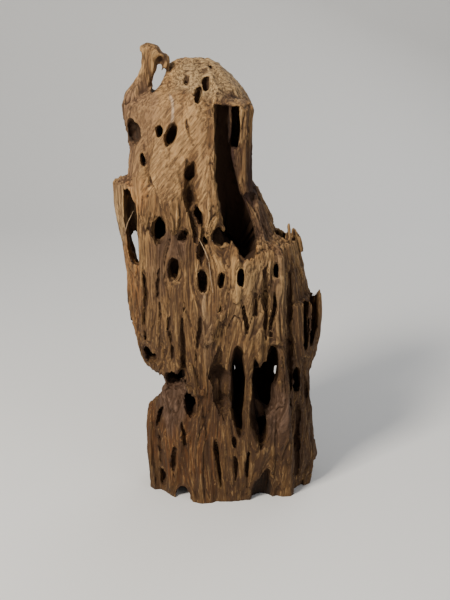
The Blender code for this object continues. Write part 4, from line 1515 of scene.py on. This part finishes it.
        # Painted shade in the grooves.
        colour = desk.blend((desk.attribute("groove_shade") * 1.1).clamped(), colour, self.umber)
        checks = (1 - weave["check"].over(0.24, 0.34)) * (1 - desk.attribute("face") * 0.5)
        colour = desk.blend(checks * 0.9, colour, self.shade_and_crack_black)
        return desk.blend(weave["grit"].over(0.3, 0.7) * 0.25, colour, self.straw, "SOFT_LIGHT")

    def material(self) -> bpy.types.Material:
        """The finished material.

        Returns:
            A material that reads what Trunk.read_surface stores.
        """
        desk = NodeDesk("weathered_wood")
        place = desk.add("ShaderNodeTexCoord", {}, {}, "Object")
        weave = self.weave(desk, place)
        fibre = weave["fibre"]
        colour = self.fibrous(desk, self.dry_wood(desk, place, weave), weave)
        desk.feed(desk.shader.inputs["Base Color"], self.rotted(desk, colour, weave))
        desk.feed(desk.shader.inputs["Roughness"], self.roughness + (fibre - 0.5) * self.roughness_swing)
        desk.shader.inputs["Specular IOR Level"].default_value = self.specular
        height = weave["strand"] * 0.4 + fibre * 0.5 + weave["hair"] * 0.3 + weave["grit"] * 0.12
        height = height + weave["check"].over(0.24, 0.36) * 0.35
        bump = {"Strength": self.bump_strength, "Distance": self.bump_distance, "Height": height}
        desk.feed(desk.shader.inputs["Normal"], desk.add("ShaderNodeBump", {}, bump))
        return desk.material


@dataclass(frozen=True)
class PaleSplinter:
    """The pale heartwood of thin splinters."""

    light: Colour = (0.480, 0.340, 0.200, 1)
    dark: Colour = (0.260, 0.160, 0.085, 1)

    def material(self) -> bpy.types.Material:
        """The finished material."""
        desk = NodeDesk("pale_splinter")
        place = desk.add("ShaderNodeTexCoord", {}, {}, "Object")
        fibre = desk.stretched(place, (1100, 1100, 60), 3)
        desk.feed(desk.shader.inputs["Base Color"], desk.blend(fibre.over(0.35, 0.6), self.dark, self.light))
        desk.feed(desk.shader.inputs["Roughness"], 0.75 + (fibre - 0.5) * 0.2)
        desk.feed(desk.shader.inputs["Normal"],
                  desk.add("ShaderNodeBump", {}, {"Strength": 0.5, "Distance": 0.0006, "Height": fibre}))
        return desk.material


@dataclass
class Splinters:
    """Thin pale splinters at the left flake and across the front holes."""

    rows: list[tuple[tuple[float, float, float], ...]] = field(default_factory=lambda: SPLINTERS)
    half_width: float = 0.55
    half_depth: float = 0.45
    steps: int = 9
    sides: int = 6
    thinnest: float = 0.16
    tip: float = 0.05
    taper: float = 0.7
    name: str = "pale_splinters"
    obj: bpy.types.Object | None = None

    def build(self, forms: RotForms) -> bpy.types.Object:
        """Builds all the splinters as one mesh.

        Args:
            forms: What lofts them.

        Returns:
            The finished mesh object, without its colours.
        """
        holder = bpy.data.collections.new("splinters")
        bpy.context.scene.collection.children.link(holder)
        made = []
        for number, path in enumerate(self.rows):
            table = np.array(path)
            shares = np.linspace(0, len(path) - 1, self.steps)
            rings = []
            for share in shares:
                x, y, height = (np.interp(share, range(len(path)), table[:, axis]) for axis in range(3))
                along = self.tip + (1 - 2 * self.tip) * share / (len(path) - 1)
                swell = max(self.thinnest, math.sin(math.pi * along) ** self.taper)
                width, depth = self.half_width * swell, self.half_depth * swell
                angles = [2 * math.pi * step / self.sides for step in range(self.sides)]
                rings.append([Vector((x + width * math.cos(angle), y + depth * math.sin(angle), height))
                              for angle in angles])
            made.append(forms.loft(f"splinter {number}", rings, holder))
        Bench.clear_selection()
        for piece in made:
            piece.select_set(True)
        bpy.context.view_layer.objects.active = made[0]
        bpy.ops.object.join()
        self.obj = bpy.context.object
        self.obj.name = self.name
        soft = self.obj.modifiers.new("round", "SUBSURF")
        soft.levels = soft.render_levels = 1
        Bench.finish(self.obj, soft)
        bpy.ops.object.shade_smooth()
        return self.obj


@dataclass
class Studio:
    """The floor, the lights and the camera."""

    camera_place: tuple[float, float, float] = (0.0051, -0.8463, 0.4347)
    camera_tilt: float = math.radians(73)
    sensor: float = 36.0
    focal_pixels: float = 982.0
    photo_height: float = 600.0
    floor_size: float = 8.0
    floor_middle: Size = (0.0, -2.2, 0.0)
    floor_roughness: float = 0.9
    back_edge: float = 1.5
    wall_height: float = 4.0
    curve_radius: float = 0.7
    curve_steps: int = 16
    target: tuple[float, float, float] = (0, 0, 0.2)
    floor_colour: Colour = (0.80, 0.79, 0.77, 1)
    sky: Colour = (0.86, 0.89, 0.93, 1)
    sky_strength: float = 0.40
    lamps: tuple[tuple[str, tuple[float, float, float], float, float, tuple[float, float, float]], ...] = (
        ("key", (-0.75, -0.95, 1.25), 33.0, 0.36, (1.0, 0.94, 0.84)),
        ("fill", (0.9, -1.2, 0.8), 4.0, 1.1, (0.92, 0.95, 1.0)),
        ("rim", (0.6, 1.2, 1.0), 6.0, 0.9, (0.95, 0.97, 1.0)),
    )

    def floor(self) -> bpy.types.Object:
        """Lays the pale floor, which curves up behind the object."""
        Bench.clear_selection()
        bpy.ops.mesh.primitive_plane_add(size=self.floor_size, location=self.floor_middle)
        floor = bpy.context.object
        floor.name = "studio_floor"
        bpy.ops.object.mode_set(mode="EDIT")
        bpy.ops.mesh.select_mode(type="EDGE")
        bpy.ops.mesh.select_all(action="DESELECT")
        bpy.ops.object.mode_set(mode="OBJECT")
        behind = (Bench.points_of(floor) * MM)[:, 1] > self.back_edge
        for edge in floor.data.edges:
            edge.select = bool(behind[list(edge.vertices)].all())
        bpy.ops.object.mode_set(mode="EDIT")
        bpy.ops.mesh.extrude_region_move(TRANSFORM_OT_translate={"value": (0, 0, self.wall_height)})
        bpy.ops.object.mode_set(mode="OBJECT")
        for vertex in floor.data.vertices:
            vertex.select = False
        curve = floor.modifiers.new("curve", "BEVEL")
        curve.width = self.curve_radius
        curve.segments = self.curve_steps
        curve.limit_method = "ANGLE"
        Bench.finish(floor, curve)
        bpy.ops.object.shade_smooth()
        desk = NodeDesk("pale_floor")
        desk.shader.inputs["Base Color"].default_value = self.floor_colour
        desk.shader.inputs["Roughness"].default_value = self.floor_roughness
        floor.data.materials.append(desk.material)
        return floor

    def light(self) -> None:
        """Hangs the lamps and sets the sky."""
        for name, place, power, size, colour in self.lamps:
            bpy.ops.object.light_add(type="AREA", location=place)
            lamp = bpy.context.object
            lamp.name = name
            lamp.data.energy = power
            lamp.data.size = size
            lamp.data.color = colour
            lamp.rotation_euler = (Vector(self.target) - Vector(place)).to_track_quat("-Z", "Y").to_euler()
        world = bpy.data.worlds.new("studio")
        world.use_nodes = True
        world.node_tree.nodes["Background"].inputs["Color"].default_value = self.sky
        world.node_tree.nodes["Background"].inputs["Strength"].default_value = self.sky_strength
        bpy.context.scene.world = world

    def aim(self) -> None:
        """Sets up the camera where the photograph was taken from."""
        bpy.ops.object.camera_add(location=self.camera_place, rotation=Euler((self.camera_tilt, 0, 0)))
        camera = bpy.context.object
        camera.data.sensor_width = self.sensor
        camera.data.lens = self.sensor * self.focal_pixels / self.photo_height
        bpy.context.scene.camera = camera


def hand_over(piece: bpy.types.Object, material: bpy.types.Material) -> None:
    """Gives a piece its finish and tells the frame what it rides on."""
    piece.data.materials.clear()
    piece.data.materials.append(material)
    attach(piece, BODY)
    LOG.info("%s: %d faces", piece.name, len(piece.data.polygons))


def main() -> None:
    """Builds the wood, its splinters and the studio, and notes their sizes."""
    outline = Outline()
    forms = RotForms(outline)
    trunk = Trunk(outline, forms, Grain())
    hand_over(trunk.build(), WeatheredWood().material())
    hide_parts("trunk")
    splinters = Splinters()
    hand_over(splinters.build(forms), PaleSplinter().material())
    studio = Studio()
    studio.floor()
    studio.light()
    studio.aim()


if __name__ == "__main__":
    logging.basicConfig(level=logging.INFO, format="%(message)s")
    main()
